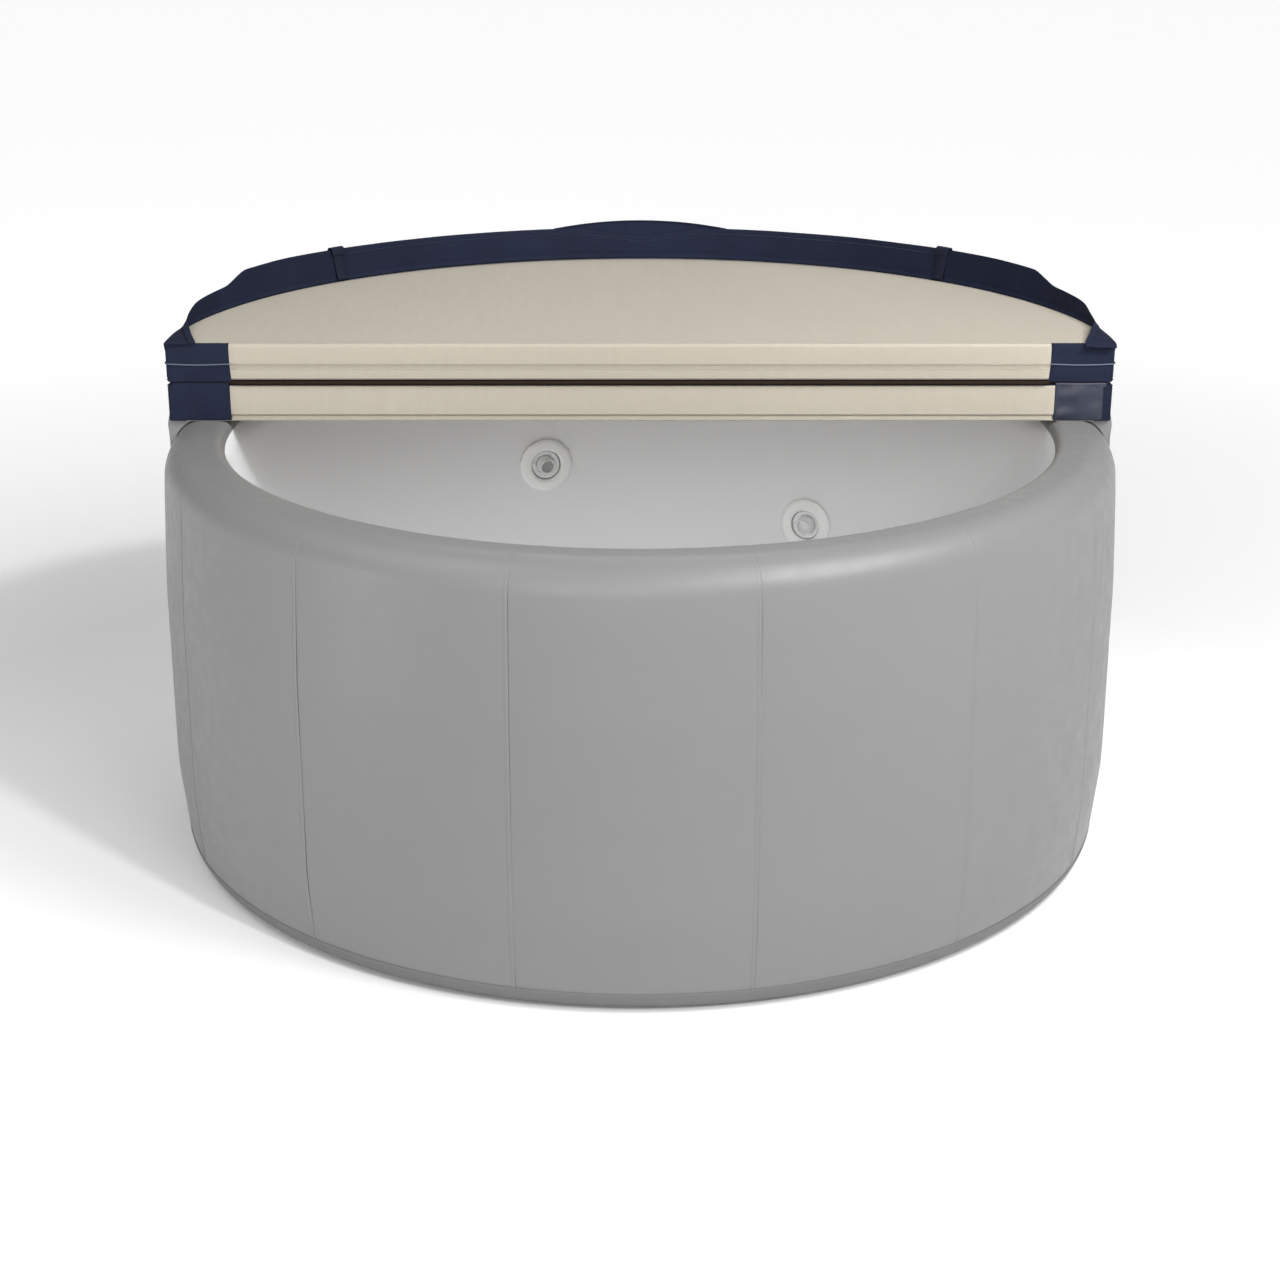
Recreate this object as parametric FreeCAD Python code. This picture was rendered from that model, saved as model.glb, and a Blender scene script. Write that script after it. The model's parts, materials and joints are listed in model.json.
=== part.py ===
"""Soft-sided round hot tub with an insulated cover that folds in half.

Millimetres. The origin is on the floor at the tub's axis, +Z is up and -Y is the side the bather enters from.
Angles round the tub are measured from +X towards +Y. The cover is drawn folded over the rear half of the tub.
"""

import FreeCAD
import Part
import math
import os

from FreeCAD import Vector

# Tub
TUB_RADIUS = 751.0
TUB_HEIGHT = 650.0
WELL_RADIUS = 650.0
WELL_FLOOR = 40.0
SKIN = 2.0
BASE_SKIN = 2.0
GLUE_GAP = 0.2
FOOT_BAND_TOP = 30.0
LINER_TOP = 632.0
PANEL_COUNT = 14
FIRST_SEAM_DEG = -103.4
FIRST_STAVE_DEG = 18.05
SEAM_WIDTH_DEG = 0.03

# Outline of the tub's side from the floor to the well, as (radius, height, corner radius)
SIDE_CORNERS = [
    (0.0, 0.0, 0.0),
    (739.0, 0.0, 34.0),
    (TUB_RADIUS, 140.0, 500.0),
    (750.0, 430.0, 500.0),
    (740.0, TUB_HEIGHT, 48.0),
    (WELL_RADIUS, TUB_HEIGHT, 18.0),
    (WELL_RADIUS, 20.0, 0.0),
]

# Jets, as (angle round the tub, height, direction the nozzle leans on the wall)
JETS = [
    (105.8, 407.0, -45.0),
    (61.5, 306.0, -100.0),
    (285.8, 407.0, -45.0),
    (241.5, 306.0, -100.0),
]
JET_BODY_RADIUS = 30.0
JET_BORE_RADIUS = 28.0
JET_BODY_DEPTH = 85.0
JET_FLANGE_RADIUS = 50.0
JET_FLANGE_BACK = 2.2
JET_FLANGE_FRONT = 9.0
JET_RING_RADIUS = 27.6
JET_RING_SEAT = -12.0
JET_BALL_RADIUS = 17.0
JET_BALL_GAP = 0.4
JET_NOZZLE_RADIUS = 10.0
JET_LEAN_DEG = 10.0
JET_NUT_RADIUS = 40.0
JET_NUT_FRONT = -3.0
JET_NUT_THICKNESS = 10.0
HOLE_GAP = 0.3
CUT_PAST = 5.0

# Plumbing inside the wall
PIPE_RADIUS = 14.0
RISER_RADIUS = 12.0
PIPE_WALL = 3.0
PIPE_CIRCLE_RADIUS = 702.0
MANIFOLD_HEIGHT = 215.0
SERVICE_HEIGHT = 140.0
SUCTION_DEG = 89.5
SUPPLY_PORT_DEG = 80.0
SUCTION_PORT_DEG = 99.0
SUCTION_BODY_RADIUS = 46.0
SUCTION_FLANGE_RADIUS = 62.0
FILTER_RADIUS = 39.0
FILTER_CORE_RADIUS = 16.0
FILTER_BACK = -74.0
FILTER_FRONT = -2.0
FILTER_CAP = 4.0
FILTER_PLEATS = 24
PLEAT_DEPTH = 9.0
GRILLE_SLOT = 4.0
GRILLE_PITCH = 10.0
GRILLE_ROWS_EACH_WAY = 3
GRILLE_OPEN_RADIUS = 36.0
PORT_RADIUS = 25.0
PORT_BORE_RADIUS = 19.0
PORT_FLANGE_RADIUS = 38.0
PORT_FACE = 757.0
PORT_BACK = 680.0
PORT_DEPTH = 60.0

# Drain
DRAIN_DEG = 140.0
DRAIN_HEIGHT = 62.0
DRAIN_RADIUS = 18.0
DRAIN_BORE_RADIUS = 15.0
DRAIN_WASTE_RADIUS = 20.0
DRAIN_FLANGE_RADIUS = 27.0
DRAIN_CAP_RADIUS = 25.0
DRAIN_PLUG_LENGTH = 17.0
DRAIN_FACE = 752.0

# Cover
COVER_CORE_RADIUS = 744.2
COVER_RADIUS = 746.4
COVER_BOTTOM = 651.0
COVER_TOP = 709.5
COVER_SKIN = 2.0
LINING = 1.5
FOLD_FACE = 3.0
HINGE_HEIGHT = 713.0
HINGE_WELT_RADIUS = 2.5
HINGE_TAIL = 34.0
HINGE_TAIL_THICKNESS = 1.8
PATCH_WIDTH = 100.0
SEAM_TAPE_FOOT = 734.0
SEAM_TAPE_TOP = 744.0
SEAM_TAPE_THICKNESS = 1.2
REAR_SKIRT_TOP = 664.0
REAR_SKIRT_SHOULDER = 650.0
REAR_SKIRT_HEM = 588.0
REAR_SKIRT_EASE = 0.8
REAR_SKIRT_FLARE = 9.0
REAR_SKIRT_END_DEG = 1.5
SKIRT_THICKNESS = 2.4
SKIRT_RADIUS = 746.6
SKIRT_HEM = 830.0
SKIRT_FOOT = 763.0
SKIRT_END_DEG = 13.0
FLAP_CREASE = [(749.5, 6.0), (735.0, 150.0)]
FLAP_NEAR_LENGTH = 52.0
FLAP_FAR_LENGTH = 12.0
FLAP_TOP = 778.0
FLAP_THICKNESS = 2.5
LOOP_DEG = 46.0
LOOP_WIDTH_DEG = 2.6
LOOP_INSIDE_FOOT = 796.0
LOOP_OUTSIDE_FOOT = 782.0
WEBBING = 2.4
GRAB_HALF_DEG = 12.2
GRAB_FOOT = 785.0
GRAB_TOP = 848.0

ORIGIN = Vector(0, 0, 0)
UP = Vector(0, 0, 1)


# ---- profiles ----


def inset_corners(corners, inset):
    """Move each side of an open outline inwards, and tighten its corner radii to match."""
    sides = []
    for (r0, z0, _), (r1, z1, _) in zip(corners, corners[1:]):
        length = math.hypot(r1 - r0, z1 - z0)
        along = ((r1 - r0) / length, (z1 - z0) / length)
        inward = (-along[1], along[0])
        sides.append(((r0 + inset * inward[0], z0 + inset * inward[1]), along))
    moved = [(sides[0][0][0], sides[0][0][1], 0.0)]
    for (point_a, along_a), (point_b, along_b), corner in zip(sides, sides[1:], corners[1:]):
        across = along_a[0] * along_b[1] - along_a[1] * along_b[0]
        offset = (point_b[0] - point_a[0], point_b[1] - point_a[1])
        step = (offset[0] * along_b[1] - offset[1] * along_b[0]) / across
        radius = max(corner[2] - inset, 0.5)
        moved.append((point_a[0] + step * along_a[0], point_a[1] + step * along_a[1], radius))
    (start, along), (_, last_z, _) = sides[-1], corners[-1]
    moved.append((start[0], last_z, 0.0))
    return moved


def section_point(radius, height):
    return Vector(radius, 0, height)


def rounded_path(corners):
    """Lines and arcs through an open outline in the XZ plane."""
    edges = []
    here = section_point(*corners[0][:2])
    for before, corner, after in zip(corners, corners[1:], corners[2:]):
        apex = section_point(*corner[:2])
        back = (section_point(*before[:2]) - apex).normalize()
        ahead = (section_point(*after[:2]) - apex).normalize()
        half_angle = back.getAngle(ahead) / 2
        reach = corner[2] / math.tan(half_angle)
        tangent_in = apex + back * reach
        tangent_out = apex + ahead * reach
        middle = (back + ahead).normalize()
        centre = apex + middle * (corner[2] / math.sin(half_angle))
        crown = centre - middle * corner[2]
        edges.append(Part.makeLine(here, tangent_in))
        edges.append(Part.Arc(tangent_in, crown, tangent_out).toShape())
        here = tangent_out
    edges.append(Part.makeLine(here, section_point(*corners[-1][:2])))
    return edges


def tub_section(outer_inset, inner_inset):
    """The part of the tub's section between two depths below its skin."""
    outer = rounded_path(inset_corners(SIDE_CORNERS, outer_inset))
    inner = rounded_path(inset_corners(SIDE_CORNERS, inner_inset))
    ends = [
        Part.makeLine(outer[0].firstVertex().Point, inner[0].firstVertex().Point),
        Part.makeLine(outer[-1].lastVertex().Point, inner[-1].lastVertex().Point),
    ]
    return Part.Face(Part.Wire(Part.__sortEdges__(outer + inner + ends)))


def foam_section():
    """The tub wall's foam, from the base skin up to the rim and back down behind the liner."""
    path = rounded_path(inset_corners(SIDE_CORNERS, SKIN + GLUE_GAP))
    close = Part.makeLine(path[-1].lastVertex().Point, path[0].firstVertex().Point)
    whole = Part.Face(Part.Wire(Part.__sortEdges__(path + [close])))
    above_base = rectangle(WELL_RADIUS + SKIN + GLUE_GAP, TUB_RADIUS, BASE_SKIN + GLUE_GAP, TUB_HEIGHT)
    return whole.common(above_base).Faces[0]


def rectangle(r0, r1, z0, z1):
    corners = [(r0, z0), (r1, z0), (r1, z1), (r0, z1), (r0, z0)]
    return Part.Face(Part.makePolygon([section_point(*c) for c in corners]))


def spun(face, start_deg=0.0, sweep_deg=360.0):
    """Turn a section in the XZ plane round the Z axis."""
    shape = face.copy()
    shape.rotate(ORIGIN, UP, start_deg)
    return shape.revolve(ORIGIN, UP, sweep_deg)


def turned(points, start_deg=0.0, sweep_deg=360.0):
    """A solid turned from a closed outline of (radius, height) points."""
    face = Part.Face(Part.makePolygon([section_point(*p) for p in points + points[:1]]))
    return spun(face, start_deg, sweep_deg)


def tube(outer, inner, z0, z1):
    return turned([(inner, z0), (outer, z0), (outer, z1), (inner, z1)])


def rod(radius, z0, z1):
    return Part.makeCylinder(radius, z1 - z0, Vector(0, 0, z0))


# ---- placing ----


def wall_placement(angle_deg, distance, height, inward):
    """A frame on the wall: local Z points along the radius, local Y is up."""
    angle = math.radians(angle_deg)
    radial = Vector(math.cos(angle), math.sin(angle), 0)
    normal = radial * -1 if inward else radial
    right = UP.cross(normal)
    matrix = FreeCAD.Matrix()
    for row, (a, b, c) in enumerate(zip(right, UP, normal)):
        for column, value in enumerate((a, b, c)):
            setattr(matrix, "A%d%d" % (row + 1, column + 1), value)
    place = FreeCAD.Placement(matrix)
    place.Base = radial * distance + UP * height
    return place


def on_wall(shape, angle_deg, height, inward=True):
    """Inward parts have local Z = 0 on the well's wall; outward parts have it on the tub's axis."""
    distance = WELL_RADIUS if inward else 0.0
    placed = shape.copy()
    placed.Placement = wall_placement(angle_deg, distance, height, inward).multiply(placed.Placement)
    return placed


def on_every_jet(shape):
    return [on_wall(shape, angle, height) for angle, height, _ in JETS]


def on_both_ports(shape):
    places = (SUPPLY_PORT_DEG, SUCTION_PORT_DEG)
    return [on_wall(shape, angle, SERVICE_HEIGHT, inward=False) for angle in places]


def upright_pipe(angle_deg, radius, z0, z1):
    angle = math.radians(angle_deg)
    foot = Vector(PIPE_CIRCLE_RADIUS * math.cos(angle), PIPE_CIRCLE_RADIUS * math.sin(angle), z0)
    return Part.makeCylinder(radius, z1 - z0, foot)


def ring_pipe(radius, height, start_deg, end_deg):
    centre = section_point(PIPE_CIRCLE_RADIUS, height)
    circle = Part.makeCircle(radius, centre, Vector(0, 1, 0))
    return spun(Part.Face(Part.Wire(circle)), start_deg, end_deg - start_deg)


# ---- tub ----


def wall_holes():
    """Everything that passes through the liner, the foam or the outer skin."""
    back = -JET_BODY_DEPTH - HOLE_GAP
    nut_back = JET_NUT_FRONT - JET_NUT_THICKNESS - 1.5
    jet_hole = rod(JET_BODY_RADIUS + HOLE_GAP, back, CUT_PAST)
    nut_hole = rod(JET_NUT_RADIUS + 2.0, nut_back, CUT_PAST)
    suction = rod(SUCTION_BODY_RADIUS + HOLE_GAP, back, CUT_PAST)
    port = rod(PORT_RADIUS + HOLE_GAP, PORT_BACK - HOLE_GAP, PORT_FACE)
    drain = rod(DRAIN_RADIUS + HOLE_GAP, WELL_RADIUS - CUT_PAST, PORT_FACE)
    through_liner = on_every_jet(jet_hole)
    through_liner.append(on_wall(suction, SUCTION_DEG, SERVICE_HEIGHT))
    through_liner.append(on_wall(drain, DRAIN_DEG, DRAIN_HEIGHT, inward=False))
    through_skin = on_both_ports(port)
    through_skin.append(on_wall(drain, DRAIN_DEG, DRAIN_HEIGHT, inward=False))
    in_foam = on_every_jet(nut_hole)
    return through_liner, through_skin, in_foam


def pipe_runs(inset):
    """The supply ring, its risers to the jets and its drop to the port, at a depth below their skin."""
    radius = PIPE_RADIUS - inset
    riser_radius = RISER_RADIUS - inset
    first = JETS[2][0] - 360.0
    last = JETS[3][0]
    overrun = math.degrees(2.0 * PIPE_RADIUS / PIPE_CIRCLE_RADIUS)
    runs = [ring_pipe(radius, MANIFOLD_HEIGHT, first - overrun, last + overrun)]
    runs += [upright_pipe(angle, riser_radius, MANIFOLD_HEIGHT, height) for angle, height, _ in JETS]
    runs.append(upright_pipe(SUPPLY_PORT_DEG, riser_radius, SERVICE_HEIGHT, MANIFOLD_HEIGHT))
    return runs


def fittings_clearance(gap):
    """The jet bodies and the port sockets, grown by a gap, to trim the pipes where they meet."""
    jet = rod(JET_BODY_RADIUS + gap, -JET_BODY_DEPTH - gap, 0.0)
    port = rod(PORT_RADIUS + gap, PORT_BACK - gap, PORT_FACE)
    suction = rod(SUCTION_BODY_RADIUS + gap, -JET_BODY_DEPTH - gap, 0.0)
    blocks = on_every_jet(jet) + on_both_ports(port)
    blocks.append(on_wall(suction, SUCTION_DEG, SERVICE_HEIGHT))
    return blocks


def supply_manifold():
    outer = fuse_all(pipe_runs(0.0))
    inner = fuse_all(pipe_runs(PIPE_WALL))
    return outer.cut(inner).cut(fittings_clearance(GLUE_GAP))


def suction_run(inset):
    return ring_pipe(PIPE_RADIUS - inset, SERVICE_HEIGHT, SUCTION_DEG, SUCTION_PORT_DEG)


def suction_pipe():
    return suction_run(0.0).cut(suction_run(PIPE_WALL)).cut(fittings_clearance(GLUE_GAP))


def jacket_panels():
    _, through_skin, _ = wall_holes()
    innermost = WELL_RADIUS - CUT_PAST
    outermost = TUB_RADIUS + CUT_PAST
    above_foot = rectangle(innermost, outermost, FOOT_BAND_TOP, TUB_HEIGHT + CUT_PAST)
    behind_liner = rectangle(innermost, WELL_RADIUS + SKIN + 1.0, 0.0, LINER_TOP)
    band = tub_section(0.0, SKIN).common(above_foot)
    outer = max(band.Faces[0].cut(behind_liner).Faces, key=lambda face: face.Area)
    pitch = 360.0 / PANEL_COUNT
    panels = {}
    for index in range(PANEL_COUNT):
        start = FIRST_SEAM_DEG + index * pitch + SEAM_WIDTH_DEG / 2
        panel = spun(outer, start, pitch - SEAM_WIDTH_DEG)
        panels["jacket_panel_%02d" % (index + 1)] = panel.cut(through_skin)
    return panels


def wall_foam():
    through_liner, through_skin, in_foam = wall_holes()
    pipes = pipe_runs(-HOLE_GAP) + [suction_run(-HOLE_GAP)]
    holes = through_liner + through_skin + in_foam + pipes
    section = foam_section()
    pitch = 360.0 / PANEL_COUNT
    staves = []
    for index in range(PANEL_COUNT):
        stave = spun(section, FIRST_STAVE_DEG + index * pitch, pitch - SEAM_WIDTH_DEG)
        staves.append(stave.cut(holes))
    return Part.makeCompound(solids_of(staves))


def base_skin():
    foot = rectangle(0.0, TUB_RADIUS + CUT_PAST, 0.0, FOOT_BAND_TOP - GLUE_GAP)
    section = tub_section(0.0, BASE_SKIN).common(foot)
    return spun(max(section.Faces, key=lambda face: face.BoundBox.XMax))


def liner_wall():
    through_liner, _, _ = wall_holes()
    wall = tube(WELL_RADIUS + SKIN, WELL_RADIUS, WELL_FLOOR - SKIN, LINER_TOP - GLUE_GAP)
    return wall.cut(through_liner)


def liner_floor():
    return rod(WELL_RADIUS - GLUE_GAP, WELL_FLOOR - SKIN, WELL_FLOOR)


def floor_pad():
    return rod(WELL_RADIUS - GLUE_GAP, BASE_SKIN + GLUE_GAP, WELL_FLOOR - SKIN - GLUE_GAP)


# ---- jets ----


def jet_flange():
    return turned(
        [
            (JET_BORE_RADIUS, JET_FLANGE_BACK),
            (JET_FLANGE_RADIUS, JET_FLANGE_BACK),
            (JET_FLANGE_RADIUS, JET_FLANGE_BACK + 2.0),
            (JET_FLANGE_RADIUS - 4.0, JET_FLANGE_FRONT - 1.0),
            (JET_FLANGE_RADIUS - 8.0, JET_FLANGE_FRONT),
            (JET_BORE_RADIUS + 5.0, JET_FLANGE_FRONT),
            (JET_BORE_RADIUS, JET_FLANGE_FRONT - 2.0),
        ]
    )


def jet_body():
    return turned(
        [
            (0.0, -JET_BODY_DEPTH),
            (JET_BODY_RADIUS, -JET_BODY_DEPTH),
            (JET_BODY_RADIUS, JET_FLANGE_BACK - GLUE_GAP),
            (JET_BORE_RADIUS, JET_FLANGE_BACK - GLUE_GAP),
            (JET_BORE_RADIUS, JET_RING_SEAT - 0.6),
            (JET_BORE_RADIUS - 6.0, JET_RING_SEAT - 0.6),
            (JET_BORE_RADIUS - 6.0, 6.0 - JET_BODY_DEPTH),
            (0.0, 6.0 - JET_BODY_DEPTH),
        ]
    )


def jet_gasket(angle_deg, height):
    ring = tube(JET_FLANGE_RADIUS - 2.0, JET_BODY_RADIUS + HOLE_GAP, -1.0, JET_FLANGE_BACK - 0.1)
    well = rod(WELL_RADIUS - 0.1, height - JET_FLANGE_RADIUS, height + JET_FLANGE_RADIUS)
    return on_wall(ring, angle_deg, height).common(well)


def jet_lock_nut():
    hexagon = []
    for corner in range(7):
        angle = math.radians(60.0 * corner)
        across = JET_NUT_RADIUS * math.cos(angle)
        hexagon.append(Vector(across, JET_NUT_RADIUS * math.sin(angle), JET_NUT_FRONT))
    blank = Part.Face(Part.makePolygon(hexagon)).extrude(Vector(0, 0, -JET_NUT_THICKNESS))
    return blank.cut(rod(JET_BODY_RADIUS + GLUE_GAP, -JET_BODY_DEPTH, 0.0))


def jet_ring():
    blank = turned(
        [
            (JET_BALL_RADIUS - 5.0, JET_RING_SEAT),
            (JET_RING_RADIUS, JET_RING_SEAT),
            (JET_RING_RADIUS, JET_FLANGE_FRONT - 2.5),
            (JET_RING_RADIUS - 2.0, JET_FLANGE_FRONT - 1.0),
            (JET_RING_RADIUS - 7.0, JET_FLANGE_FRONT - 1.0),
            (JET_BALL_RADIUS - 5.0, JET_FLANGE_FRONT - 2.0),
        ]
    )
    return blank.cut(Part.makeSphere(JET_BALL_RADIUS + JET_BALL_GAP))


def jet_eyeball(lean_direction_deg):
    ball = Part.makeSphere(JET_BALL_RADIUS)
    ball = ball.common(rod(JET_BALL_RADIUS + 1.0, JET_RING_SEAT, 11.0))
    nozzle = turned([(0.0, -20.0), (7.0, -20.0), (6.0, 2.0), (JET_NOZZLE_RADIUS, 12.0), (0.0, 12.0)])
    ball = ball.cut(nozzle)
    lean = math.radians(lean_direction_deg)
    ball.rotate(ORIGIN, Vector(-math.sin(lean), math.cos(lean), 0), JET_LEAN_DEG)
    return ball


# ---- suction, ports and drain ----


def suction_fitting():
    blank = turned(
        [
            (0.0, -JET_BODY_DEPTH),
            (SUCTION_BODY_RADIUS, -JET_BODY_DEPTH),
            (SUCTION_BODY_RADIUS, -1.0),
            (SUCTION_FLANGE_RADIUS, -1.0),
            (SUCTION_FLANGE_RADIUS, 6.0),
            (SUCTION_FLANGE_RADIUS - 3.0, 8.0),
            (SUCTION_BODY_RADIUS - 4.0, 8.0),
            (SUCTION_BODY_RADIUS - 4.0, 3.0 - JET_BODY_DEPTH),
            (0.0, 3.0 - JET_BODY_DEPTH),
        ]
    )
    fitting = on_wall(blank, SUCTION_DEG, SERVICE_HEIGHT)
    body = on_wall(rod(SUCTION_BODY_RADIUS, -JET_BODY_DEPTH, CUT_PAST), SUCTION_DEG, SERVICE_HEIGHT)
    reach = SUCTION_FLANGE_RADIUS
    well = rod(WELL_RADIUS - GLUE_GAP, SERVICE_HEIGHT - reach, SERVICE_HEIGHT + reach)
    return fitting.common(well.fuse(body))


def filter_cartridge():
    """A pleated element on a plain core."""
    points = []
    for index in range(2 * FILTER_PLEATS):
        radius = FILTER_RADIUS - PLEAT_DEPTH * (index % 2)
        angle = math.pi * index / FILTER_PLEATS
        points.append(Vector(radius * math.cos(angle), radius * math.sin(angle), FILTER_BACK + FILTER_CAP))
    length = FILTER_FRONT - FILTER_BACK - 2.0 * FILTER_CAP
    pleats = Part.Face(Part.makePolygon(points + points[:1])).extrude(Vector(0, 0, length))
    back_cap = rod(FILTER_RADIUS, FILTER_BACK, FILTER_BACK + FILTER_CAP)
    front_cap = rod(FILTER_RADIUS, FILTER_FRONT - FILTER_CAP, FILTER_FRONT)
    core = rod(FILTER_CORE_RADIUS, -JET_BODY_DEPTH, 0.0)
    return pleats.fuse([back_cap, front_cap]).cut(core)


def filter_grille():
    """The slotted cap in front of the cartridge, with a short spigot that holds it."""
    cap = turned(
        [
            (0.0, 8.4),
            (SUCTION_FLANGE_RADIUS - 6.0, 8.4),
            (SUCTION_FLANGE_RADIUS - 6.0, 11.0),
            (SUCTION_FLANGE_RADIUS - 16.0, 15.0),
            (0.0, 16.0),
        ]
    )
    spigot = tube(FILTER_RADIUS + 1.0, FILTER_RADIUS - 2.0, FILTER_FRONT + GLUE_GAP, 9.0)
    slots = []
    for row in range(-GRILLE_ROWS_EACH_WAY, GRILLE_ROWS_EACH_WAY + 1):
        middle = row * GRILLE_PITCH
        half = math.sqrt(GRILLE_OPEN_RADIUS**2 - middle**2)
        slots.append(block(-half, half, middle - GRILLE_SLOT / 2, middle + GRILLE_SLOT / 2, 5.0, 25.0))
    return cap.fuse(spigot).cut(slots)


def port_socket():
    return turned(
        [
            (0.0, PORT_BACK),
            (PORT_RADIUS, PORT_BACK),
            (PORT_RADIUS, TUB_RADIUS + GLUE_GAP),
            (PORT_FLANGE_RADIUS, TUB_RADIUS + GLUE_GAP),
            (PORT_FLANGE_RADIUS, PORT_FACE - 1.5),
            (PORT_FLANGE_RADIUS - 1.5, PORT_FACE),
            (PORT_BORE_RADIUS, PORT_FACE),
            (PORT_BORE_RADIUS, PORT_FACE - PORT_DEPTH),
            (0.0, PORT_FACE - PORT_DEPTH),
        ]
    )


def drain_body():
    outer = turned(
        [
            (DRAIN_BORE_RADIUS, WELL_RADIUS - 3.5),
            (DRAIN_WASTE_RADIUS, WELL_RADIUS - 3.5),
            (DRAIN_WASTE_RADIUS, WELL_RADIUS),
            (DRAIN_RADIUS, WELL_RADIUS),
            (DRAIN_RADIUS, DRAIN_FACE - 4.8),
            (DRAIN_FLANGE_RADIUS, DRAIN_FACE - 4.8),
            (DRAIN_FLANGE_RADIUS, DRAIN_FACE),
            (DRAIN_BORE_RADIUS, DRAIN_FACE),
        ]
    )
    body = on_wall(outer, DRAIN_DEG, DRAIN_HEIGHT, inward=False)
    waste_radius = 2.0 * DRAIN_WASTE_RADIUS
    inner_flange = tube(waste_radius, DRAIN_RADIUS + HOLE_GAP, WELL_RADIUS - 6.0, WELL_RADIUS + SKIN)
    waste = on_wall(inner_flange, DRAIN_DEG, DRAIN_HEIGHT, inward=False)
    well = rod(WELL_RADIUS - GLUE_GAP, 0.0, 3.0 * DRAIN_HEIGHT)
    return body.cut(waste.cut(well))


def drain_cap():
    cap = turned(
        [
            (0.0, DRAIN_FACE - DRAIN_PLUG_LENGTH),
            (DRAIN_BORE_RADIUS - 0.4, DRAIN_FACE - DRAIN_PLUG_LENGTH),
            (DRAIN_BORE_RADIUS - 0.4, DRAIN_FACE + 0.4),
            (DRAIN_CAP_RADIUS, DRAIN_FACE + 0.4),
            (DRAIN_CAP_RADIUS, DRAIN_FACE + 6.0),
            (DRAIN_CAP_RADIUS - 2.0, DRAIN_FACE + 8.0),
            (0.0, DRAIN_FACE + 8.0),
        ]
    )
    return on_wall(cap, DRAIN_DEG, DRAIN_HEIGHT, inward=False)


# ---- cover ----


def half_disc(radius, y_min, z0, z1):
    """The half of a disc behind a line across the tub."""
    half = math.sqrt(radius**2 - y_min**2)
    arc = Part.Arc(Vector(half, y_min, z0), Vector(0, radius, z0), Vector(-half, y_min, z0)).toShape()
    chord = Part.makeLine(Vector(-half, y_min, z0), Vector(half, y_min, z0))
    return Part.Face(Part.Wire([arc, chord])).extrude(Vector(0, 0, z1 - z0))


def block(x0, x1, y0, y1, z0, z1):
    return Part.makeBox(x1 - x0, y1 - y0, z1 - z0, Vector(x0, y0, z0))


def cover_core():
    return half_disc(
        COVER_CORE_RADIUS,
        FOLD_FACE + LINING + GLUE_GAP,
        COVER_BOTTOM + LINING + GLUE_GAP,
        COVER_TOP - COVER_SKIN - GLUE_GAP,
    )


def cover_top():
    """Outer vinyl: the flat top and the band round the edge."""
    blank = half_disc(COVER_RADIUS, FOLD_FACE, COVER_BOTTOM, COVER_TOP)
    below = COVER_BOTTOM - 1.0
    inside = half_disc(COVER_CORE_RADIUS + GLUE_GAP, FOLD_FACE - 1.0, below, COVER_TOP - COVER_SKIN)
    return blank.cut(inside)


def cover_lining():
    """The pale underside, turned up over the fold face between the corner patches."""
    under = half_disc(COVER_CORE_RADIUS, FOLD_FACE, COVER_BOTTOM, COVER_BOTTOM + LINING)
    half = COVER_CORE_RADIUS - PATCH_WIDTH - GLUE_GAP
    face = block(-half, half, FOLD_FACE, FOLD_FACE + LINING, COVER_BOTTOM, COVER_TOP - COVER_SKIN - GLUE_GAP)
    return under.fuse(face)


def corner_patches():
    inner = COVER_CORE_RADIUS - PATCH_WIDTH
    bottom = COVER_BOTTOM + LINING + GLUE_GAP
    top = COVER_TOP - COVER_SKIN - GLUE_GAP
    right = block(inner, COVER_CORE_RADIUS - 0.1, FOLD_FACE, FOLD_FACE + LINING, bottom, top)
    left = right.mirror(ORIGIN, Vector(1, 0, 0))
    return Part.makeCompound(solids_of([right, left]))


def folded_over(shape):
    """The front half is the rear half's match, lying face down on it."""
    return shape.mirror(Vector(0, 0, HINGE_HEIGHT), UP)


def rear_skirt():
    inner = SKIRT_RADIUS
    outer = SKIRT_RADIUS + SKIRT_THICKNESS
    outline = [
        (inner, REAR_SKIRT_TOP),
        (outer, REAR_SKIRT_TOP),
        (outer + REAR_SKIRT_EASE, REAR_SKIRT_SHOULDER),
        (outer + REAR_SKIRT_FLARE, REAR_SKIRT_HEM),
        (inner + REAR_SKIRT_FLARE, REAR_SKIRT_HEM),
        (inner + REAR_SKIRT_EASE, REAR_SKIRT_SHOULDER),
    ]
    return turned(outline, REAR_SKIRT_END_DEG, 180.0 - 2.0 * REAR_SKIRT_END_DEG)


def front_skirt():
    outer = SKIRT_RADIUS + SKIRT_THICKNESS
    outline = [(SKIRT_RADIUS, SKIRT_FOOT), (outer, SKIRT_FOOT), (outer, SKIRT_HEM), (SKIRT_RADIUS, SKIRT_HEM)]
    return turned(outline, SKIRT_END_DEG, 180.0 - 2.0 * SKIRT_END_DEG)


def skirt_flap(side):
    """The skirt's loose end, turned in over the lining along a straight crease."""
    near, far = (Vector(x, y, FLAP_TOP - FLAP_THICKNESS) for x, y in FLAP_CREASE)
    inward = UP.cross(far - near).normalize()
    corners = [near, far, far + inward * FLAP_FAR_LENGTH, near + inward * FLAP_NEAR_LENGTH, near]
    flap = Part.Face(Part.makePolygon(corners)).extrude(Vector(0, 0, FLAP_THICKNESS))
    return flap if side > 0 else flap.mirror(ORIGIN, Vector(1, 0, 0))


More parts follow.
